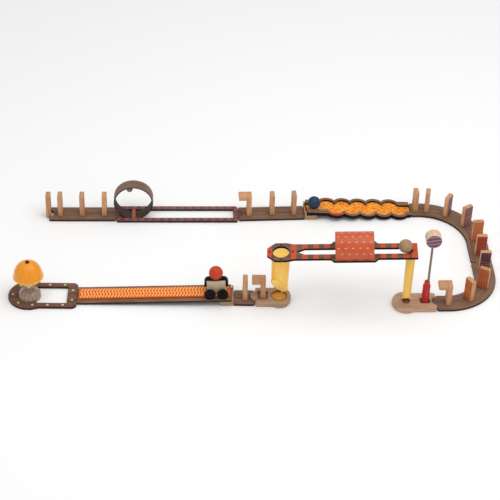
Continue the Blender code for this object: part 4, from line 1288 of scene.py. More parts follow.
def dashes_over() -> GrownShape:
    """Tree of staggered dashes wrapped over a tunnel's arch.

    Returns:
        The tree.
    """
    sizes = ("Radius", "Leg", "First", "Step", "Pitch", "Dash", "Width", "Relief")
    shape = GrownShape("tunnel_dashes", ("Rows", "Columns"), sizes)
    tree, given = shape.tree, shape.given
    count = put(tree, "MULTIPLY", (given["Rows"], given["Columns"]))
    index = put(tree, INDEX)
    column = put(tree, "MODULO", (index, given["Columns"]))
    ratio = put(tree, "DIVIDE", (index, given["Columns"]))
    row = put(tree, "FLOOR", (ratio,))
    odd = put(tree, "MODULO", (row, 2.0))
    step = put(tree, "MULTIPLY_ADD", (odd, 0.5, column))
    half = put(tree, "MULTIPLY_ADD", (given["Columns"], 0.5, -0.25))
    offset = put(tree, "SUBTRACT", (step, half))
    along = put(tree, "MULTIPLY", (offset, given["Pitch"]))
    turn = put(tree, "MULTIPLY_ADD", (row, given["Step"], given["First"]))
    sine = put(tree, "SINE", (turn,))
    cosine = put(tree, "COSINE", (turn,))
    side = put(tree, "MULTIPLY", (sine, given["Radius"]))
    up = put(tree, "MULTIPLY_ADD", (cosine, given["Radius"], given["Leg"]))
    feeds = {"Geometry": put(tree, POINTS, {"Count": count})}
    feeds["Position"] = put(tree, COMBINE, (side, along, up))
    placed = put(tree, "GeometryNodeSetPosition", feeds)
    size = put(tree, COMBINE, (given["Width"], given["Dash"], given["Relief"]))
    return shape.repeat(placed, put(tree, "GeometryNodeMeshCube", {"Size": size}), "Y", turn)


def ribs_round() -> GrownShape:
    """Tree of thin ribs that follow a profile and stand round an axis.

    Returns:
        The tree.
    """
    shape = GrownShape("cup_ribs", ("Count",), ("Thickness",))
    tree, given = shape.tree, shape.given
    curve = put(tree, CURVE, {"Mesh": given["Geometry"]})
    feeds = {"Resolution": 6, "Radius": given["Thickness"]}
    ring = put(tree, "GeometryNodeCurvePrimitiveCircle", feeds)
    feeds = {"Curve": curve, "Profile Curve": ring, "Fill Caps": True}
    rib = put(tree, "GeometryNodeCurveToMesh", feeds)
    points = put(tree, POINTS, {"Count": given["Count"]})
    share = put(tree, "DIVIDE", (put(tree, INDEX), given["Count"]))
    turn = put(tree, "MULTIPLY", (share, 2 * math.pi))
    return shape.repeat(points, rib, "Z", turn)


def bent_band() -> GrownShape:
    """Tree that bends a flat band with rounded edges into an open hoop.

    Returns:
        The tree.
    """
    shape = GrownShape("bent_hoop", (), ("Radius", "Start", "Sweep", "Width", "Wall", "Edge"))
    tree, given = shape.tree, shape.given
    feeds = {"Resolution": 181, "Radius": given["Radius"], "Start Angle": given["Start"]}
    bow = put(tree, "GeometryNodeCurveArc", feeds | {"Sweep Angle": given["Sweep"]})
    tilted = put(tree, "GeometryNodeSetCurveNormal", (bow,), mode="Z_UP")
    feeds = {"Width": given["Wall"], "Height": given["Width"]}
    section = put(tree, "GeometryNodeCurvePrimitiveQuadrilateral", feeds)
    feeds = {"Curve": section, "Radius": given["Edge"], "Count": 3}
    fillet = put(tree, "GeometryNodeFilletCurve", feeds, mode="POLY")
    feeds = {"Curve": tilted, "Profile Curve": fillet, "Fill Caps": True}
    return shape.end(put(tree, "GeometryNodeCurveToMesh", feeds))


# ---- Places, workshop and boards


@dataclass(frozen=True)
class Place:
    """Where a row or a moving group sits: its origin, its heading and its downhill tilt in degrees."""

    x: float
    y: float
    z: float = 0.0
    heading: float = 0.0
    tilt: float = 0.0

    def matrix(self) -> Matrix:
        """The place as a matrix."""
        return shift(self.x, self.y, self.z) @ spin("Z", self.heading) @ spin("Y", self.tilt)


class Workshop:
    """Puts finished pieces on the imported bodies."""

    def __init__(self, frame: dict) -> None:
        """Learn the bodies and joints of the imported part.
        """
        self.nodes: dict[str, Object] = frame["nodes"]
        self.joints = {joint["name"]: joint for joint in frame["joints"]}
        bodies = frame["record"]["behaviour"]["bodies"]
        self.body_of = {node: body for body, nodes in bodies.items() for node in nodes}
        self.count = 0

    def add(
        self,
        node: str,
        kind: str,
        mesh: Mesh,
        place: Matrix,
        slot: str,
        finishes: Sequence[Finish] = (),
        mapper: Mapper | None = None,
    ) -> None:
        """Dress a mesh, put it in its place and let it ride on its body.

        Args:
            node: CAD node that it stands for, or that it is printed or moulded on.
            kind: What it is; with the node's name it makes the name of the piece.
            mesh: Its mesh in its own frame.
            place: Where that frame sits.
            slot: Material slot of the record; not used.
            finishes: Finishes in the order of the faces' numbers. Trim that a tree has dressed has
                none here, and leaves the CAD node's own piece in view.
            mapper: Turns a point of the piece's frame into the place that patterns read.
        """
        self.count += 1
        where = mesh.attributes.new(LOCAL, "FLOAT_VECTOR", "POINT")
        spots = [mapper(vert.co) if mapper else vert.co for vert in mesh.vertices]
        where.data.foreach_set("vector", [c / MM for spot in spots for c in spot])
        stock = mesh.attributes.new(STOCK, "FLOAT", "POINT")
        stock.data.foreach_set("value", [self.count * GOLDEN % 1.0] * len(mesh.vertices))
        for finish in finishes:
            mesh.materials.append(finish.material())
        mesh.transform(place)
        mesh.name = name = f"{node}_{kind}"
        piece = show(name, mesh)
        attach(piece, self.body_of[node])
        if finishes:
            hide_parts(node)
        LOG.info("%s: %d faces on %s", name, len(mesh.polygons), self.body_of[node])

    def board(
        self,
        node: str,
        place: Matrix,
        loops: Sequence[Loop],
        slot: str = "brown_board",
        finishes: Sequence[Finish] = (WALNUT_FOIL, EDGE),
        ease: float = BOARD_EASE,
        kind: str = "board",
    ) -> None:
        """Saw a flat board.

        Args:
            node: CAD node that it stands for.
            place: Where it lies.
            loops: The outline, and then its holes.
            slot: Material slot of the record.
            finishes: Finishes of its upper face and of its sides.
            ease: Radius of its edges.
            kind: As in add.
        """
        self.add(node, kind, faces_by(plate(loops, BOARD, ease), top_or_side), place, slot, finishes)

    def standing(self, node: str) -> Matrix:
        """Frame on the lower edge that a standing piece falls over.

        Args:
            node: A domino, a hook or the start block.

        Returns:
            The frame, with +X the way the piece falls.
        """
        joint = self.joints[f"{node}_fall"]
        ax, ay, _ = joint["axis"]
        return shift(*joint["pos_m"]) @ Matrix.Rotation(math.atan2(-ax, ay), 4, "Z")


@dataclass(frozen=True)
class BoardShape:
    """Outline of a board with its jigsaw ends."""

    near: End
    far: End
    width: float = 0.042
    corner: float = 0.004
    tab_radius: float = 0.013
    tab_offset: float = -0.003
    tab_clear: float = 0.0004
    gap: float = 0.0015
    corner_step: float = math.radians(15)
    tab_step: float = math.radians(6)

    def end(self, kind: End) -> Loop:
        """One end of the board.

        Args:
            kind: How it ends.

        Returns:
            Points from its left side to its right side, with the first number pointing out of the board.
        """
        half, corner = self.width / 2, self.corner
        points = arc((-corner, half - corner), corner, math.pi / 2, 0, self.corner_step)
        if kind is End.TAB:
            neck = math.sqrt(self.tab_radius**2 - self.tab_offset**2)
            turn = math.atan2(neck, -self.tab_offset)
            points += arc((self.tab_offset, 0), self.tab_radius, turn, -turn, self.tab_step)
        if kind is End.NOTCH:
            radius = self.tab_radius + self.tab_clear
            depth = self.tab_offset - self.gap
            turn = math.atan2(math.sqrt(radius**2 - depth**2), depth)
            points += arc((-depth, 0), radius, turn, 2 * math.pi - turn, self.tab_step)
        return points + arc((-corner, corner - half), corner, 0, -math.pi / 2, self.corner_step)

    def straight(self, length: float) -> Loop:
        """Outline of a straight board along X."""
        far = [(length + u, v) for u, v in reversed(self.end(self.far))]
        return far + [(-u, -v) for u, v in reversed(self.end(self.near))]

    def along(self, line: Callable[[float], Spot], marks: Sequence[float]) -> Loop:
        """Outline of a board that follows a centre line.

        Args:
            line: Gives x, y and heading at a distance.
            marks: Distances from the board's start to its end.

        Returns:
            The closed outline.
        """

        def beside(mark: float, out: float, side: float) -> Point:
            """Find a point beside the line.

            Args:
                mark: Distance along the line.
                out: How far ahead of it.
                side: How far to its left.

            Returns:
                The point.
            """
            x, y, heading = line(mark)
            cos, sin = math.cos(heading), math.sin(heading)
            return x + cos * out - sin * side, y + sin * out + cos * side

        half = self.width / 2
        right = [beside(m, 0, -half) for m in marks[1:-1]]
        left = [beside(m, 0, half) for m in reversed(marks[1:-1])]
        far = [beside(marks[-1], u, v) for u, v in reversed(self.end(self.far))]
        near = [beside(marks[0], -u, -v) for u, v in reversed(self.end(self.near))]
        return right + far + left + near


def base_outline(length: float, lobe_first: bool, end: End, reach: float, lobe: float = 0.02695) -> Loop:
    """A wooden base: a round lobe at its origin and a jigsaw end a length away.

    Args:
        length: Distance from the lobe's centre to the square end.
        lobe_first: True where the square end lies towards +X.
        end: Shape of the square end.
        reach: How far the lobe reaches past its centre.
        lobe: Radius of the lobe across the base.

    Returns:
        The closed outline.
    """
    shape = BoardShape(end, end, 0.046)
    waist = math.asin(shape.width / 2 / lobe)
    points = [(x * reach / lobe, y) for x, y in arc((0, 0), lobe, waist, 2 * math.pi - waist)]
    points += [(length + u, v) for u, v in reversed(shape.end(end))]
    return points if lobe_first else [(-x, -y) for x, y in points]


# ---- Sub-assemblies, from the start block round to the bell


@dataclass
class Dominoes:
    """All standing dominoes, the start block and the three hooks."""

    shop: Workshop
    height: float = 0.048
    width: float = 0.021
    thick: float = 0.0095
    ease: float = 0.0009
    reach: float = 0.017
    hook_block: float = 0.009
    glue_line: float = 0.00005

    def slab(self, x0: float, x1: float, foot: float) -> Mesh:
        """A domino-wide block from one X to another and from a foot to the domino's top."""
        return block((x0, -self.width / 2, foot), (x1, self.width / 2, self.height), self.ease)

    def stand(self, node: str, below: float = 0.0) -> None:
        """Stand a domino, painted on the side that it falls towards where it has a panel.

        Args:
            node: CAD node that it stands for.
            below: How far it reaches down beside the board.
        """
        mesh = faces_by(self.slab(-self.thick, 0, -below), lambda _, normal: int(normal.x > 0.9))
        finishes = (BEECH, PANELS.get(node, BEECH))
        self.shop.add(node, "block", mesh, self.shop.standing(node), "beech", finishes)

    def hook(self, node: str, ahead: bool) -> None:
        """Stand a domino with a glued block at its top.

        Args:
            node: CAD node that it stands for.
            ahead: True where the block is on the side that the hook falls towards.
        """
        x0, x1 = self.glue_line, self.reach
        if not ahead:
            x0, x1 = -self.thick - self.reach, -self.thick - self.glue_line
        arm = self.slab(x0, x1, self.height - self.hook_block)

        def grain(spot: Vector) -> Sequence[float]:
            """The glued block's grain lies along the row."""
            inside = x0 - 1e-6 < spot.x < x1 + 1e-6
            return (spot.z, spot.y + 0.05, spot.x) if inside else spot

        mesh = joined((self.slab(-self.thick, 0, 0), arm))
        self.shop.add(node, "block", mesh, self.shop.standing(node), "beech", (BEECH,), grain)

    def build(self) -> None:
        """Stand the whole chain."""
        self.stand("start_block", BOARD)
        for number in range(2, 17):
            self.stand(f"domino_{number:02d}")
        for node, ahead in (("hook_1", False), ("hook_2", True), ("hook_3", True)):
            self.hook(node, ahead)


@dataclass
class StartRow:
    """First plank, the slotted loop frame, and the hoop with its weight."""

    shop: Workshop
    place: Place = Place(-0.4147, 0.1346)
    pivot: Place = Place(-0.2377, 0.1346, 0.0003)
    plank: float = 0.136
    loop_start: float = 0.1375
    loop_length: float = 0.2485
    loop_width: float = 0.050
    slot_half: float = 0.0145
    slot_start: float = 0.014
    slot_end: float = 0.0085
    slot_corner: float = 0.0012
    bar: Point = (0.0315, 0.0385)
    hoop_radius: float = 0.040
    hoop_wall: float = 0.0025
    hoop_width: float = 0.026
    hoop_edge: float = 0.0006
    opening: float = 0.009
    bead_radius: float = 0.006
    bead_length: float = 0.013
    bead_shoulder: float = 0.0008
    bead_round: float = 0.0025
    bead_lean: float = 16.0
    peg_radius: float = 0.002
    peg_proud: float = 0.0015
    peg_round: float = 0.0006

    def build(self) -> None:
        """Lay the boards and stand the hoop."""
        at = self.place.matrix()
        self.shop.board("plank_1", at, [BoardShape(End.NOTCH, End.TAB).straight(self.plank)])
        loops = [BoardShape(End.NOTCH, End.TAB, self.loop_width).straight(self.loop_length)]
        for x0, x1 in ((self.slot_start, self.bar[0]), (self.bar[1], self.loop_length - self.slot_end)):
            loops.append(rounded(rectangle(x0, x1, self.slot_half), self.slot_corner))
        at = at @ shift(self.loop_start)
        self.shop.board("loop_frame", at, loops, "printed_board", (FRAME_FOIL, EDGE))
        self.stand_hoop()

    def stand_hoop(self) -> None:
        """Bend the hoop about its centre and peg its weight to it."""
        gap = math.asin(self.opening / 2 / self.hoop_radius)
        rise = self.hoop_radius * math.cos(gap)
        centre = self.pivot.matrix() @ shift(-self.opening / 2, 0, rise)
        middle = self.hoop_radius - self.hoop_wall / 2
        sizes = {"Radius": middle, "Start": gap - math.pi / 2, "Sweep": 2 * math.pi - 2 * gap}
        sizes |= {"Width": self.hoop_width, "Wall": self.hoop_wall, "Edge": self.hoop_edge}
        band = bent_band().grow(HOOP_FOIL, sizes)
        band.transform(spin("X", 90))

        def side(at: Vector, way: Vector) -> int:
            """Rims are 2, the inside is 1, whose finish carries painted shade, and the outside is 0."""
            return 2 if abs(way.y) > 0.5 else int(at.x * way.x + at.z * way.z < 0)

        def round_hoop(spot: Vector) -> Sequence[float]:
            """Length round the hoop, place across it and distance from its centre."""
            return math.atan2(spot.x, spot.z) * middle, spot.y, math.hypot(spot.x, spot.z)

        band = faces_by(joined([band], False), side)
        finishes = (HOOP_FOIL, BARE_HOOP_AND_SHADE, EDGE)
        self.shop.add("hoop", "band", band, centre, "brown_board", finishes, round_hoop)
        shoulder = self.hoop_radius - self.hoop_wall - self.bead_shoulder
        foot = centre @ spin("Y", -self.bead_lean) @ shift(z=shoulder - self.bead_length)
        peg_top = self.bead_length + self.hoop_radius + self.peg_proud - shoulder
        corners = [(0, 0), (self.bead_radius, 0), (self.bead_radius, self.bead_length)]
        neck = (self.peg_radius, self.bead_length)
        body = rounded([*corners, neck], self.bead_round, False)
        peg = rounded([neck, (self.peg_radius, peg_top), (0, peg_top)], self.peg_round, False)
        mesh = turned(body[:-1] + peg, steps=40)
        self.shop.add("hoop_weight", "bead", mesh, foot, "beech", (BEECH_GREY,))


@dataclass
class Supports:
    """Wooden blocks with two prongs that lift the high ends of the ramps."""

    shop: Workshop
    length: float = 0.0255
    height: float = 0.011
    wall: float = 0.0035
    prong: float = 0.006
    gap: float = 0.026
    sill: float = 0.001
    width: float = 0.042
    ease: float = 0.0006

    def build(self, node: str, place: Matrix) -> None:
        """Saw one support: a stepped block with a gap between its prongs.

        Args:
            node: CAD node that it stands for.
            place: Where it stands.
        """
        high = self.height + self.prong
        outline = [(0, 0), (self.length, 0), (self.length, self.height), (self.wall, self.height)]
        blank = upright([[*outline, (self.wall, high), (0, high)]], self.width, self.ease)
        low = (-PAST, -self.gap / 2, self.height + self.sill)
        cutter = block(low, (self.wall + PAST, self.gap / 2, high + 2 * PAST), self.ease / 2)
        self.shop.add(node, "block", carve(blank, [cutter]), place, "beech", (BEECH_CROSS,))


@dataclass
class WavyRamp:
    """Second plank, its support, and the sloping channel between two lobed walls."""

    shop: Workshop
    row: Place = Place(-0.0317, 0.1346, 0, 2.3)
    ramp: Place = Place(0.329846, 0.149121, 0, 2.3, 3.3119)
    ball_place: Place = Place(0.12933, 0.141068, 0.028691, 2.3, 3.3119)
    plank_start: float = 0.0045
    plank: float = 0.136
    support_start: float = 0.1411
    length: float = 0.217
    floor: float = 0.0035
    floor_ease: float = 0.0009
    wall: float = 0.004
    wall_ease: float = 0.0005
    wall_spacing: float = 0.003
    crest: float = 0.007
    lobe_depth: float = 0.0135
    rim_depth: float = 0.008
    channel: float = 0.020
    first_lobe: float = 0.044
    tail: float = 0.041
    lobes: int = 5
    lobe_step: float = math.radians(6)
    ball_radius: float = 0.01325

    @property
    def period(self) -> float:
        """Distance from one lobe to the next."""
        return (self.length - self.first_lobe - self.tail) / (self.lobes - 1)

    def lobe(self, depth: float) -> float:
        """Radius of a lobe that is a period wide and so deep."""
        half = self.period / 2
        return (half**2 + depth**2) / (2 * depth)

    def inner_side(self, x: float, first: float) -> float:
        """How far from the centre line a wall's inner edge is.

        Args:
            x: Place along the ramp, from its low end.
            first: Place of the wall's first lobe, from its high end.

        Returns:
            The distance.
        """
        radius = self.lobe(self.lobe_depth)
        base = self.channel / 2 + self.lobe_depth - radius
        for lobe in range(self.lobes):
            centre = first + lobe * self.period - self.length
            if abs(x - centre) <= self.period / 2:
                return base + math.sqrt(radius**2 - (x - centre) ** 2)
        return self.channel / 2

    def edge(self, first: float, side: float, depth: float) -> Loop:
        """One lobed edge from the ramp's high end to its low end.

        Args:
            first: Place of the first lobe, from the high end.
            side: Distance of the cusps from the centre line.
            depth: Depth of the lobes.

        Returns:
            The points of the edge.
        """
        radius = self.lobe(depth)
        rise = math.asin(self.period / 2 / radius)
        points = [(0.0, side)]
        for lobe in range(self.lobes):
            centre = (first + lobe * self.period, side + depth - radius)
            points += arc(centre, radius, math.pi / 2 + rise, math.pi / 2 - rise, self.lobe_step)
        points.append((self.length, side))
        tidy = [p for i, p in enumerate(points) if i == 0 or math.dist(p, points[i - 1]) > 1e-6]
        return [(x - self.length, y) for x, y in tidy]

    def build(self) -> None:
        """Lay the plank and the support, then the floor, the walls and the ball."""
        row, slope = self.row.matrix(), self.ramp.matrix()
        outline = BoardShape(End.NOTCH, End.PLAIN).straight(self.plank)
        self.shop.board("plank_2", row @ shift(self.plank_start), [outline])
        Supports(self.shop).build("wave_support", row @ shift(self.support_start))
        inner = self.channel / 2
        outer = inner + self.lobe_depth + self.crest - self.rim_depth
        sides = ((inner, self.lobe_depth), (outer, self.rim_depth))
        later = self.first_lobe + self.period / 2
        rear = [self.edge(self.first_lobe, side, depth) for side, depth in sides]
        front = [mirrored(self.edge(later, side, depth)) for side, depth in sides]
        floor = plate([front[1] + rear[1][::-1]], self.floor, self.floor_ease)
        faces_by(floor, lambda _, way: int(way.z < 0.985))
        # The floor's sides take the nearly black edge with painted shade.
        self.shop.add("wave_floor", "board", floor, slope, "orange_board", (SPECKLE, DARK_EDGE_AND_SHADE))
        raised = slope @ shift(z=self.floor + SEAT)
        walls = (
            ("wave_rear_wall", rear, self.first_lobe, WAVE_REAR_FOIL),
            ("wave_front_wall", front, later, WAVE_FRONT_FOIL),
        )
        for node, edges, first, foil in walls:

            def from_inside(spot: Vector, first: float = first) -> Sequence[float]:
                """Length along the ramp, distance from the wall's inner edge, and height."""
                return spot.x, abs(spot.y) - self.inner_side(spot.x, first), spot.z

            wall = plate([edges[0] + edges[1][::-1]], self.wall, self.wall_ease, self.wall_spacing)
            faces_by(wall, top_or_side)
            # The walls' sides, their inner faces among them, take the nearly black edge with painted shade.
            self.shop.add(node, "band", wall, raised, "brown_board", (foil, DARK_EDGE_AND_SHADE), from_inside)
        at = self.ball_place.matrix()
        self.shop.add("blue_ball", "turned", ball(self.ball_radius), at, "blue_stain", (BLUE_STAIN,))


@dataclass
class CurvedTrack:
    """The two curved boards that carry the dominoes round the right-hand side."""

    shop: Workshop
    place: Place = Place(0.330896, 0.149163, 0, 2.3)
    lead: float = 0.0103
    rear_radius: float = 0.110
    rear_sweep: float = 92.3
    middle: float = 0.105
    split: float = 0.065
    front_radius: float = 0.085
    front_sweep: float = 90.0
    tail: float = 0.0215
    gap: float = 0.0015
    step: float = 0.006
    spacing: float = 0.007

    @property
    def legs(self) -> list[Point]:
        """The stretches of the centre line.

        Returns:
            Length and sweep of each one.
        """
        rear, front = math.radians(self.rear_sweep), math.radians(self.front_sweep)
        bends = [(self.rear_radius * rear, rear), (self.middle, 0.0), (self.front_radius * front, front)]
        return [(self.lead, 0.0), *bends, (self.tail, 0.0)]

    def line(self, distance: float) -> Spot:
        """Walk along the centre line, which turns to the right.

        Args:
            distance: How far from its start.

        Returns:
            Place and heading there.
        """
        x, y, heading = 0.0, 0.0, 0.0
        for length, sweep in self.legs:
            run = min(distance, length)
            turn = sweep * run / length
            if sweep:
                radius = length / sweep
                x += radius * (math.sin(heading) - math.sin(heading - turn))
                y += radius * (math.cos(heading - turn) - math.cos(heading))
            else:
                x += run * math.cos(heading)
                y += run * math.sin(heading)
            heading -= turn
            distance -= run
            if distance <= 0:
                break
        return x, y, heading

    def build(self) -> None:
        """Cut both boards, with the printed grain running round the bend."""
        total = sum(length for length, _ in self.legs)
        cut_at = self.legs[0][0] + self.legs[1][0] + self.split
        pieces = {
            "rear_curve": (0.0, cut_at, BoardShape(End.PLAIN, End.TAB)),
            "front_curve": (cut_at + self.gap, total, BoardShape(End.NOTCH, End.TAB)),
        }
        track = [(mark, *self.line(mark)) for mark in [total * i / 400 for i in range(401)]]

        def round_bend(spot: Vector) -> Sequence[float]:
            """Unroll the bend.

            Args:
                spot: A point of the boards.

            Returns:
                Length along the track, place across it, and height.
            """
            mark, x, y, heading = min(track, key=lambda t: (t[1] - spot.x) ** 2 + (t[2] - spot.y) ** 2)
            cos, sin = math.cos(heading), math.sin(heading)
            ahead = (spot.x - x) * cos + (spot.y - y) * sin
            return mark + ahead, (spot.y - y) * cos - (spot.x - x) * sin, spot.z

        where, finishes = self.place.matrix(), (WALNUT_FOIL, EDGE)
        for node, (first, last, shape) in pieces.items():
            count = round((last - first) / self.step)
            marks = [first + (last - first) * i / count for i in range(count + 1)]
            mesh = plate([shape.along(self.line, marks)], BOARD, BOARD_EASE, self.spacing)
            faces_by(mesh, top_or_side)
            self.shop.add(node, "board", mesh, where, "brown_board", finishes, round_bend)


@dataclass(frozen=True)
class Tube:
    """Plastic tube that narrows to its foot, with a slanted mouth above its seat."""

    top: float
    foot: float
    wall: float
    length: float
    seat: float
    mouth: float
    turn: float
    fall: float = 0.0651

    def mesh(self) -> Mesh:
        """Turn the tube and cut its mouth; inside and foot take the second and third finish.

        Returns:
            The tube, standing on its origin.
        """
        inner = self.foot - self.wall
        corners = [(self.top, self.length), (self.foot, 0), (inner, 0), (self.top - self.wall, self.length)]
        blank = turned(rounded(corners, self.wall * 0.4), closed=True, steps=96)
        far = self.top + PAST
        rise = (self.mouth - self.seat) * (far + inner) / (2 * inner)
        wedge = [(-inner, self.seat), (far, self.seat), (far, self.seat + rise)]
        cutter = upright([wedge], 2 * far, CRISP)
        cutter.transform(spin("Z", self.turn))
        tube = carve(blank, [cutter])
        # The rim is cut to the slope of the rail that lies on it.
        for vertex in tube.vertices:
            if vertex.co.z > self.length - self.wall:
                vertex.co.z += (self.top - vertex.co.x) * self.fall

        def coat(spot: Vector, way: Vector) -> int:
            """Choose a face's finish.

            Args:
                spot: Centre of the face.
                way: The way it looks.

            Returns:
                2 on the foot in its socket, where painted shade goes, 1 on faces that look at the tube's
                axis, else 0.
            """
            if spot.z < self.seat + 0.0004:
                return 2
            return int(way.x * spot.x + way.y * spot.y < -0.3 * math.hypot(spot.x, spot.y))

        return faces_by(tube, coat)


@dataclass
class HammerStand:
    """Right base with the small tube, and the hammer that swings on its pin."""

    shop: Workshop
    place: Place = Place(0.289102, -0.150335, 0, 180)
    pivot: Place = Place(0.326102, -0.150335, 0.0045, 180)
    base_length: float = 0.0585
    base_thick: float = 0.0105
    base_ease: float = 0.0012
    reach: float = 0.02645
    socket_floor: float = 0.0065
    tube: Tube = Tube(0.0091, 0.0079, 0.0012, 0.1218, 0.004, 0.015, 95.0)
    station: float = -0.037
    slot: Point = (0.020, 0.016)
    slot_top: float = 0.014
    slot_ease: float = 0.0004
    pin_radius: float = 0.0015
    pin_length: float = 0.0306
    pin_height: float = 0.0045
    pin_bore: float = 0.024
    foot: float = -0.0025
    foot_radius: float = 0.0074
    top_radius: float = 0.0054
    shoulder: float = 0.0475
    slope: float = 0.003
    handle: float = 0.057
    handle_ease: float = 0.0011
    stick_radius: float = 0.00225
    stick_length: float = 0.110
    stick_seat: float = 0.010
    stick_offset: float = -0.002
    stick_ease: float = 0.0006
    head_radius: float = 0.015
    head_width: float = 0.020
    head_seat: float = 0.012
    head_ease: float = 0.0009

    def build(self) -> None:
        """Make the base, the tube and the hammer."""
        at = self.place.matrix()
        outline = base_outline(self.base_length, False, End.NOTCH, self.reach)
        blank = plate([outline], self.base_thick, self.base_ease)
        socket = rod(self.tube.foot + 2 * FIT, SOCKET, shift(z=self.socket_floor), 64)
        long, wide = self.slot[0] / 2, self.slot[1] / 2
        high = (self.station + long, wide, self.slot_top)
        gap = block((self.station - long, -wide, -PAST), high, self.slot_ease)
        bore_at = shift(self.station, -self.pin_length / 2, self.pin_height) @ ACROSS_Y
        bore = rod(self.pin_radius + FIT, self.pin_length, bore_at, 24)
        self.shop.add("right_base", "block", carve(blank, [socket, gap, bore]), at, "beech", (BEECH_FLAT,))
        lifted = at @ shift(z=self.socket_floor + SEAT)
        # The small tube's inside and foot both take painted shade.
        coats = (SMALL_TUBE, TUBE_FOOT_SHADE, TUBE_FOOT_SHADE)
        self.shop.add("small_tube", "acrylic", self.tube.mesh(), lifted, "yellow_plastic", coats)
        self.build_hammer()

    def build_hammer(self) -> None:
        """Turn the handle, the stick and the drum-shaped head."""
        at = self.pivot.matrix()
        top, bend = self.foot + self.handle, self.foot + self.shoulder
        profile = [(0, self.foot), (self.foot_radius, self.foot), (self.foot_radius, bend)]
        profile += [(self.top_radius, bend + self.slope), (self.top_radius, top), (0, top)]
        blank = turned(rounded(profile, self.handle_ease, False))
        across = shift(y=-self.pin_bore / 2) @ ACROSS_Y
        pin_hole = rod(self.pin_radius + PIN_FIT, self.pin_bore, across, 24)
        stick_foot = top - self.stick_seat
        seat_at = shift(self.stick_offset, 0, stick_foot - SEAT)
        seat = rod(self.stick_radius + FIT, 2 * self.stick_seat, seat_at, 32)
        handle = carve(blank, [pin_hole, seat])
        self.shop.add("hammer_handle", "turned", handle, at, "red_paint", (RED_LACQUER,))
        r, tip = self.stick_radius, self.stick_length
        stick = turned(rounded([(0, 0), (r, 0), (r, tip), (0, tip)], self.stick_ease, False), steps=32)
        raised = at @ shift(self.stick_offset, 0, stick_foot)
        self.shop.add("hammer_stick", "dowel", stick, raised, "beech", (BEECH_GREY,))
        half, r = self.head_width / 2, self.head_radius
        corners = [(0, -half), (r, -half), (r, half), (0, half)]
        drum = turned(rounded(corners, self.head_ease, False), steps=96)
        drum.transform(ACROSS_Y)
        deep = self.head_seat + 2 * PAST + SEAT
        bore = rod(self.stick_radius + FIT, deep, shift(z=-r - 2 * PAST), 32)
        drum = carve(drum, [bore])
        faces_by(drum, lambda spot, way: int(abs(way.y) > 0.95 and abs(spot.y) > half - 1e-4))
        raised = raised @ shift(z=self.stick_length - self.head_seat + r)
        self.shop.add("hammer_head", "drum", drum, raised, "beech", (BEECH_PALE, DISC))


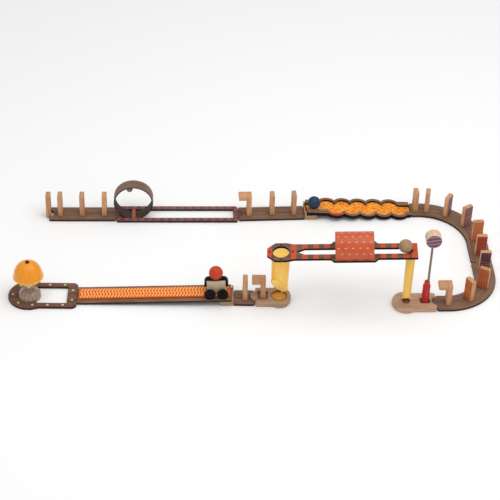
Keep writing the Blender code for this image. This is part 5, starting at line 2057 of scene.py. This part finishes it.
@dataclass
class RailBridge:
    """Raised rail with its tunnel and the tan ball."""

    shop: Workshop
    place: Place = Place(0.289102, -0.150335, 0.1295, 176.3, 3.7292)
    ball_place: Place = Place(0.277166, -0.149563, 0.143882, 176.3, 3.7292)
    span: float = 0.246
    ease: float = 0.0005
    corner: float = 0.0008
    half: float = 0.0225
    slot_half: float = 0.009
    tail: float = 0.012
    ring_radius: float = 0.0285
    ring_hole: float = 0.0155
    hole_across: float = 0.0172
    ring_to_slot: float = 0.029
    slot_back: float = 0.006
    slot_point: float = 0.016
    ring_shoulder: float = 0.025
    dot_radius: float = 0.0024
    tunnel_station: float = 0.107
    tunnel_length: float = 0.073
    tunnel_radius: float = 0.0265
    tunnel_leg: float = 0.011
    tunnel_ease: float = 0.0004
    sheet: float = 0.0015
    tab_length: float = 0.078
    tab_proud: float = 0.002
    tab_slope: float = 0.006
    ball_radius: float = 0.01325

    def outline(self) -> Loop:
        """The rail from its square tail past the tunnel's tabs to the eight-sided ring.

        Returns:
            The closed outline.
        """
        wide = self.tunnel_radius + self.sheet + self.tab_proud
        first, last = self.tunnel_station - self.tab_length / 2, self.tunnel_station + self.tab_length / 2
        edge = [(-self.tail, self.half), (first - self.tab_slope, self.half), (first, wide), (last, wide)]
        edge += [(last + self.tab_slope, self.half), (self.span - self.ring_shoulder, self.half)]
        eighth = math.pi / 4
        ring = arc((self.span, 0), self.ring_radius, 2.5 * eighth, -2.5 * eighth, eighth)
        return rounded(edge + ring + mirrored(edge)[::-1], self.corner)

    def build(self) -> None:
        """Cut the rail, bend the tunnel over it and print both."""
        at = self.place.matrix()
        stop, half, r = self.span - self.ring_to_slot, self.slot_half, self.tunnel_radius
        slot = arc((self.slot_back, 0), half, math.pi / 2, 1.5 * math.pi)
        slot += [(stop - self.slot_point, -half), (stop, 0), (stop - self.slot_point, half)]
        stretch = self.hole_across / self.ring_hole
        hole = [(x, y * stretch) for x, y in arc((self.span, 0), self.ring_hole, 0, 2 * math.pi)[:-1]]
        loops = [self.outline(), slot, hole]
        # The rail's sides take the nearly black edge with painted shade.
        self.shop.board("rail", at, loops, "printed_board", (RAIL_FOIL, DARK_EDGE_AND_SHADE), self.ease)
        middle = (self.ring_radius + self.ring_hole) / 2
        ring = [(self.span + x, y, BOARD) for x, y in arc((0, 0), middle, 0, 2 * math.pi)[:-1]]
        sizes = {"Count": 4, "Start": 0.0, "Radius": self.dot_radius, "Relief": INK_RELIEF}
        dots = dots_along().grow(DARK_RED_INK, sizes, ring, True)
        self.shop.add("rail", "ring_dots", dots, at, "printed_board")
        outer = r + self.sheet
        sheet = [(outer, 0), *arc((0, self.tunnel_leg), outer, 0, math.pi), (-outer, 0), (-r, 0)]
        sheet += [*arc((0, self.tunnel_leg), r, math.pi, 0), (r, 0)]
        over = at @ shift(self.tunnel_station, 0, BOARD + SEAT) @ spin("Z", 90)
        tunnel = upright([sheet], self.tunnel_length, self.tunnel_ease)
        self.shop.add("tunnel", "sheet", tunnel, over, "orange_board", (TUNNEL_INK,))
        sizes = {"Radius": outer, "Leg": self.tunnel_leg, "Rows": 8, "Columns": 5, "Pitch": 0.0135}
        sizes |= {"First": math.radians(-84), "Step": math.radians(24)}
        sizes |= {"Dash": 0.0044, "Width": 0.0018, "Relief": 2 * INK_RELIEF}
        self.shop.add("tunnel", "dashes", dashes_over().grow(DASH_INK, sizes), over, "orange_board")
        at = self.ball_place.matrix()
        self.shop.add("tan_ball", "turned", ball(self.ball_radius), at, "tan_stain", (TAN_STAIN,))


@dataclass
class LeftBase:
    """Left base with the big tube and its mouth, the hook's pocket and the third plank."""

    shop: Workshop
    place: Place = Place(0.044135, -0.134493, 0, 178.75)
    length: float = 0.046
    thick: float = 0.0105
    ease: float = 0.0012
    reach: float = 0.02275
    socket_floor: float = 0.0075
    tube: Tube = Tube(0.0182, 0.0155, 0.0016, 0.10421, 0.003, 0.050, 65.0)
    pocket: Point = (0.020, 0.024)
    pocket_end: float = 0.04175
    pocket_floor: float = 0.005
    pocket_top: float = 0.02
    pocket_ease: float = 0.0003
    plank_start: float = 0.0475
    plank: float = 0.040

    def build(self) -> None:
        """Make the base, the tube and the plank."""
        at = self.place.matrix()
        blank = plate([base_outline(self.length, True, End.TAB, self.reach)], self.thick, self.ease)
        socket = rod(self.tube.foot + 2 * FIT, SOCKET, shift(z=self.socket_floor), 96)
        wide = self.pocket[1] / 2
        low = (self.pocket_end - self.pocket[0], -wide, self.pocket_floor)
        pocket = block(low, (self.pocket_end, wide, self.pocket_top), self.pocket_ease)

        def in_socket(spot: Vector, _: Vector) -> int:
            """1 on the socket's floor and wall, which carry painted amber light from the tube."""
            inside = math.hypot(spot.x, spot.y) < self.tube.foot + 3 * FIT
            return int(inside and 0.001 < spot.z < self.thick - 0.0005)

        base = faces_by(carve(blank, [socket, pocket]), in_socket)
        self.shop.add("left_base", "block", base, at, "beech", (BEECH_DARK, SOCKET_AMBER_LIGHT))
        lifted = at @ shift(z=self.socket_floor + SEAT)
        # The big tube's inside takes painted light and its foot takes painted shade.
        coats = (YELLOW_TUBE, TUBE_INSIDE_GLOW, TUBE_FOOT_SHADE)
        self.shop.add("big_tube", "acrylic", self.tube.mesh(), lifted, "yellow_plastic", coats)
        outline = BoardShape(End.NOTCH, End.PLAIN).straight(self.plank)
        self.shop.board("plank_3", at @ shift(self.plank_start), [outline])


@dataclass
class CarRamp:
    """Sloping board with its raised herringbone strip, and the support under its high end."""

    shop: Workshop
    row: Place = Place(0.044135, -0.134493, 0, 178.75)
    place: Place = Place(-0.344223, -0.126019, 0, 178.75, 2.3541)
    support_start: float = 0.0881
    length: float = 0.2965
    width: float = 0.0475
    corner: float = 0.001
    ease: float = 0.0007
    strip_width: float = 0.029
    strip_height: float = 0.0035
    strip_end: float = 0.002
    strip_margin: float = 0.002
    slat_pitch: float = 0.00595
    slat_margin: float = 0.006

    def build(self) -> None:
        """Make the support, the board, the strip and its printed slats."""
        Supports(self.shop).build("ramp_support", self.row.matrix() @ shift(self.support_start))
        at = self.place.matrix()
        loops = [rounded(rectangle(-self.length, 0, self.width / 2), self.corner)]
        self.shop.board("ramp_board", at, loops, ease=self.ease, kind="foil")
        foot, wide = BOARD + SEAT, self.strip_width / 2
        low = (self.strip_end - self.length, -wide, foot)
        strip = block(low, (-self.strip_end, wide, foot + self.strip_height), self.ease)
        self.shop.add("ramp_strip", "bar", strip, at, "orange_board", (STRIP_INK,))
        columns = int((self.length - 2 * self.strip_end - self.slat_margin) / self.slat_pitch)
        sizes = {"Length": (columns - 1) * self.slat_pitch, "Columns": columns, "Rows": 3}
        sizes |= {"Row Width": (self.strip_width - self.strip_margin) / 3, "Slant": math.radians(28)}
        sizes |= {"Slat Length": 0.0088, "Slat Width": 0.0026, "Relief": 0.0002}
        slats = herringbone().grow(SLAT_INK, sizes)
        slats.transform(shift(-self.length / 2, 0, foot + self.strip_height))
        self.shop.add("ramp_strip", "slats", slats, at, "orange_board")


@dataclass
class Car:
    """Stepped wooden car with black shoulders, a ball for its rider and four black wheels."""

    shop: Workshop
    place: Place = Place(-0.077174, -0.131846, 0.027095, 178.75, 2.3541)
    axles: tuple[tuple[str, Place], ...] = (
        ("front", Place(-0.08956, -0.131576, 0.026585, 178.75, 2.3541)),
        ("rear", Place(-0.064787, -0.132117, 0.027604, 178.75, 2.3541)),
    )
    length: float = 0.036
    width: float = 0.020
    ease: float = 0.0008
    crown: float = 0.0223
    foot: float = -0.004
    panel: float = 0.005
    ledge: float = 0.006
    top_length: float = 0.046
    top_ease: float = 0.0009
    shoulder: float = 0.010
    wheelbase: float = 0.0248
    wheel_radius: float = 0.0108
    wheel_width: float = 0.006
    wheel_round: float = 0.0011
    wheel_dish: float = 0.0007
    wheel_gap: float = 0.0065
    axle_radius: float = 0.002
    rider_radius: float = 0.0136
    rider_height: float = 0.0353

    def build(self) -> None:
        """Make the body, the shoulders, the rider and the wheels."""
        at, half = self.place.matrix(), self.width / 2
        step = half - self.panel
        section = [(-half, self.foot), (half, self.foot), (half, self.crown), (step, self.crown)]
        section += [(step, self.ledge), (-half, self.ledge)]
        blank = plate([rounded(section, self.ease, True, 3)], self.length, self.ease)
        blank.transform(shift(-self.length / 2) @ ALONG_X)
        bores = []
        for x in (-self.wheelbase / 2, self.wheelbase / 2):
            across = shift(x, -half - PAST) @ ACROSS_Y
            bores.append(rod(self.axle_radius + PIN_FIT, self.width + 2 * PAST, across, 24))
        self.shop.add("car_body", "block", carve(blank, bores), at, "beech", (BEECH_CAR,))
        reach, low = self.top_length / 2, self.ledge + SEAT
        x, z = reach - self.shoulder, self.crown - self.shoulder
        outline = [(-reach, low), (reach, low), *arc((x, z), self.shoulder, 0, math.pi / 2)]
        outline += arc((-x, z), self.shoulder, math.pi / 2, math.pi)
        deep = self.width - self.panel - SEAT
        hollow = ball(self.rider_radius + SEAT)
        hollow.transform(shift(z=self.rider_height))
        shoulders = carve(upright([outline], deep, self.top_ease), [hollow])
        beside = at @ shift(y=(deep - self.width) / 2)
        self.shop.add("car_top", "block", shoulders, beside, "black_paint", (BLACK_LACQUER,))
        above = beside @ shift(z=self.rider_height)
        self.shop.add("rider_ball", "turned", ball(self.rider_radius), above, "red_paint", (RED_STAIN,))
        for name, place in self.axles:
            for side, way in (("left", -1), ("right", 1)):
                face = place.matrix() @ shift(y=way * (half + self.wheel_gap)) @ spin("X", -90 * way)
                node = f"{name}_{side}_wheel"
                self.shop.add(node, "turned", self.wheel(), face, "black_paint", (BLACK_LACQUER,))

    def wheel(self) -> Mesh:
        """Turn one wheel: a round tread, a shallow dish and a hub.

        Returns:
            The wheel, with its inner face at Z = 0.
        """
        r, w, hub = self.wheel_radius, self.wheel_width, self.axle_radius + FIT
        dish = w - self.wheel_dish
        profile = [(hub, 0), (r, 0), (r, w), (r * 0.80, w), (r * 0.72, dish), (r * 0.46, dish)]
        return turned(rounded([*profile, (r * 0.40, w), (hub, w)], self.wheel_round), closed=True, steps=72)


@dataclass
class BellStand:
    """Keyhole plate with its dots, the clear suction cup, and the bell on its stem."""

    shop: Workshop
    place: Place = Place(-0.437006, -0.123995, 0, 178.75)
    length: float = 0.092
    half: float = 0.036
    lobe: float = 0.0409
    corner: float = 0.010
    hole: float = 0.0226
    window_start: float = 0.019
    window_half: float = 0.024
    window_reach: float = 0.0175
    dots: int = 11
    dot_bend: float = 0.008
    cup_radius: float = 0.022
    cup_rim: float = 0.0022
    cup_height: float = 0.020
    cup_neck: float = 0.0055
    cup_wall: float = 0.0024
    rib_depth: float = 0.0002
    stem_radius: float = 0.0055
    stem_foot: float = 0.0022
    stem_taper: float = 0.006
    stem_ease: float = 0.0008
    bell_radius: float = 0.0295
    bell_height: float = 0.033
    bell_rim: float = 0.051
    bell_wall: float = 0.0015
    bell_margin: float = 0.0008
    screw_radius: float = 0.0018
    screw_head: float = 0.0042
    screw_rise: float = 0.0018
    screw_depth: float = 0.008
    screw_bore: float = 0.012
    screw_slot: Spot = (0.006, 0.0004, 0.0007)  # half its length, half its width, its depth
    screw_ease: float = 0.0005

    def build(self) -> None:
        """Make the plate and what stands on it."""
        at = self.place.matrix()
        self.build_plate(at)
        self.build_cup(at)
        self.build_bell(at @ shift(z=self.cup_height))

    def build_plate(self, at: Matrix) -> None:
        """Cut the keyhole plate and print its border with dots in two inks.

        Args:
            at: Where it lies.
        """
        waist = math.pi - math.asin(self.half / self.lobe)
        shape = BoardShape(End.PLAIN, End.PLAIN, 2 * self.half, self.corner)
        near = [(-self.length - u, -v) for u, v in shape.end(End.PLAIN)]
        outline = arc((0, 0), self.lobe, -waist, waist) + near[::-1]
        turn, side = math.asin(self.window_reach / self.hole), self.window_half
        near_x, far_x = -self.hole * math.cos(turn), self.window_start - self.length
        keyhole = arc((0, 0), self.hole, turn - math.pi, math.pi - turn)
        keyhole += [(near_x, side), (far_x, side), (far_x, -side), (near_x, -side)]
        self.shop.board("bell_plate", at, [outline, keyhole], "printed_board", (PLATE_FOIL, EDGE))
        mid_lobe, mid_side = (self.lobe + self.hole) / 2, (self.half + side) / 2
        end_x = self.window_start / 2 - self.length
        path = arc((0, 0), mid_lobe, 0, math.pi - math.asin(mid_side / mid_lobe))
        back = mirrored(path)[::-1]
        square = [path[-1], (end_x, mid_side), (end_x, -mid_side), back[0]]
        path += rounded(square, self.dot_bend, False)[1:-1] + back[:-1]
        ring = [(x, y, BOARD) for x, y in path]
        tree = dots_along()
        inks = (("yellow", YELLOW_INK, 0.0, 0.0024), ("red", DULL_RED_INK, 0.5, 0.0036))
        for name, ink, start, radius in inks:
            sizes = {"Count": self.dots, "Start": start, "Radius": radius, "Relief": INK_RELIEF}
            spots = tree.grow(ink, sizes, ring, True)
            self.shop.add("bell_plate", f"{name}_dots", spots, at, "printed_board")

    def build_cup(self, at: Matrix) -> None:
        """Mould the cup with its thin ribs.

        Args:
            at: Where it stands.
        """
        dome, rise = self.cup_radius - self.cup_neck, self.cup_height - self.cup_rim
        quarter = [math.pi / 2 * i / 16 for i in range(1, 17)]
        outside = [(self.cup_neck + dome * math.cos(a), self.cup_rim + rise * math.sin(a)) for a in quarter]
        inner, top = self.cup_radius - self.cup_wall, self.cup_height - self.cup_wall
        inside = [(inner * math.cos(a), top * math.sin(a)) for a in quarter]
        lip = [(self.cup_radius, self.cup_rim), (self.cup_radius, 0), (inner, 0)]
        profile = [(0, self.cup_height), *outside[::-1], *lip, *inside[:-1], (0, top)]
        cup = turned(profile, steps=96)
        self.shop.add("suction_cup", "moulded", cup, at, "clear_plastic", (CLEAR_CUP,))
        line = [(r - self.rib_depth, 0, z) for r, z in outside[:-2]]
        ribs = ribs_round().grow(CLEAR_CUP, {"Count": 16, "Thickness": 3 * self.rib_depth}, line)
        self.shop.add("suction_cup", "ribs", ribs, at, "clear_plastic")

    def build_bell(self, at: Matrix) -> None:
        """Turn the stem, the bell and the screw.

        Args:
            at: Top of the cup's neck.
        """
        crown = self.bell_rim + self.bell_height - self.cup_height
        under, bore = crown - self.bell_wall, self.screw_radius + FIT
        top, r = under - SEAT, self.stem_radius
        corners = [(0, SEAT), (self.stem_foot, SEAT), (r, self.stem_taper), (r, top), (0, top)]
        stem = turned(rounded(corners, self.stem_ease, False), steps=48)
        hole = rod(bore, self.screw_bore, shift(z=top - self.screw_depth - SEAT), 24)
        stem = carve(stem, [hole])
        self.shop.add("bell_stem", "moulded", stem, at, "clear_plastic", (CLEAR_CUP,))
        rim, margin = self.bell_rim - self.cup_height, r + self.bell_margin
        shape = [(1, 0), (0.965, 0.06), (0.935, 0.19), (0.89, 0.37)]
        shape += [(0.80, 0.57), (0.64, 0.77), (0.42, 0.925)]
        outer = [(self.bell_radius * u, rim + self.bell_height * v) for u, v in shape]
        hollow = self.bell_height - self.bell_wall
        inner = [(self.bell_radius * u - self.bell_wall, rim + hollow * v) for u, v in shape]
        profile = [(bore, crown), *smoothed([*outer, (margin, crown)])[::-1]]
        profile += [*smoothed([*inner, (margin, under)]), (bore, under)]
        self.shop.add("bell", "dome", turned(profile, closed=True, steps=96), at, "yellow_enamel", (AMBER,))
        foot, r = crown + SEAT, self.screw_radius
        top, shank = foot + self.screw_rise, foot - self.screw_depth - self.bell_wall - 2 * SEAT
        head = [(0, shank), (r, shank), (r, foot), (self.screw_head, foot)]
        head += [(self.screw_head * 0.8, top), (0, top)]
        screw = turned(rounded(head, self.screw_ease, False), steps=40)
        long, wide, deep = self.screw_slot
        slot = block((-long, -wide, top - deep), (long, wide, top + PAST), CRISP)
        self.shop.add("bell_screw", "slotted", carve(screw, [slot]), at, "steel", (BROWN_SCREW,))


@dataclass
class Studio:
    """Pale floor, soft light and the camera."""

    aim: Spot = (-0.0065, 0.0196, 0.0)
    distance: float = 3.22
    elevation: float = 38.5
    roll: float = 2.5
    lens: float = 115.2
    sensor: float = 36.0
    sky: float = 0.66
    floor_edge: float = 12.0
    floor_drop: float = -0.0003
    lamps: tuple[tuple[str, Spot, float, float], ...] = (
        ("softbox", (0.6, -0.25, 2.1), 2.4, 22.5),
        ("small_window", (-0.75, -0.55, 1.35), 0.32, 1.4),
    )  # name, place, diameter and watts

    def build(self) -> None:
        """Set up the floor, the light and the camera."""
        scene = bpy.context.scene
        scene.view_settings.view_transform = "Standard"
        mesh = bpy.data.meshes.new("floor")
        corners = rectangle(-self.floor_edge, self.floor_edge, self.floor_edge)
        mesh.from_pydata([(x, y, self.floor_drop) for x, y in corners], [], [(0, 1, 2, 3)])
        mesh.materials.append(self.paper())
        show("floor", mesh)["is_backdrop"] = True
        scene.world = bpy.data.worlds.new("soft_sky")
        scene.world.use_nodes = True
        background = scene.world.node_tree.nodes["Background"].inputs
        background["Color"].default_value = srgb("#ffffff")
        background["Strength"].default_value = self.sky
        for name, spot, size, watts in self.lamps:
            lamp = bpy.data.lights.new(name, "AREA")
            lamp.shape, lamp.size, lamp.energy = "DISK", size, watts
            holder = show(name, lamp)
            holder.location = spot
            holder.rotation_euler = (-holder.location).to_track_quat("-Z", "Y").to_euler()
        self.place_camera()

    def paper(self) -> Material:
        """White paper sweep: matt, with a very slight fibre.

        Returns:
            The material of the floor.
        """
        material = bpy.data.materials.new("white_paper_sweep")
        material.use_nodes = True
        tree = material.node_tree
        shader = tree.nodes["Principled BSDF"].inputs
        place = put(tree, "ShaderNodeTexCoord", out="Object")
        fibre = put(tree, NOISE, {"Vector": place, "Scale": 300.0})
        mixed = put(tree, MIX, (fibre, "#fbfbfb", "#fefefe"))
        tree.links.new(mixed, shader["Base Color"])
        shader["Roughness"].default_value = 0.9
        shader["Specular IOR Level"].default_value = 0.2
        return material

    def place_camera(self) -> None:
        """Stand the camera where the photograph was taken from."""
        camera = bpy.data.cameras.new("camera")
        camera.lens, camera.sensor_width, camera.clip_end = self.lens, self.sensor, 50.0
        turn = spin("X", 90 - self.elevation) @ spin("Y", -self.roll)
        holder = show("camera", camera)
        holder.matrix_world = shift(*self.aim) @ turn @ shift(z=self.distance)
        bpy.context.scene.camera = holder


def dress_pins(shop: Workshop) -> None:
    """Give the CAD pins and axles, whose shape is right, their steel.

    Args:
        shop: The workshop, which knows the CAD nodes.
    """
    for node, finish in (("hammer_pin", STEEL), ("front_axle", BLACK_PIN), ("rear_axle", BLACK_PIN)):
        slots = shop.nodes[node].data.materials
        slots.clear()
        slots.append(finish.material())
        LOG.info("%s: CAD node in %s", node, finish.name)


def main() -> None:
    """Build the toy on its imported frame, from the start block round to the bell."""
    logging.basicConfig(level=logging.INFO, format="%(message)s")
    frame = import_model()
    cad_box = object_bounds()
    shop = Workshop(frame)
    Studio().build()
    back = (StartRow, WavyRamp, CurvedTrack, Dominoes)
    for assembly in (*back, HammerStand, RailBridge, LeftBase, CarRamp, Car, BellStand):
        LOG.info("building %s", assembly.__name__)
        assembly(shop).build()
    dress_pins(shop)
    boxes = {"cad": cad_box, "visual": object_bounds()}
    plain = {name: [[float(c) for c in corner] for corner in box] for name, box in boxes.items()}


if __name__ == "__main__":
    main()
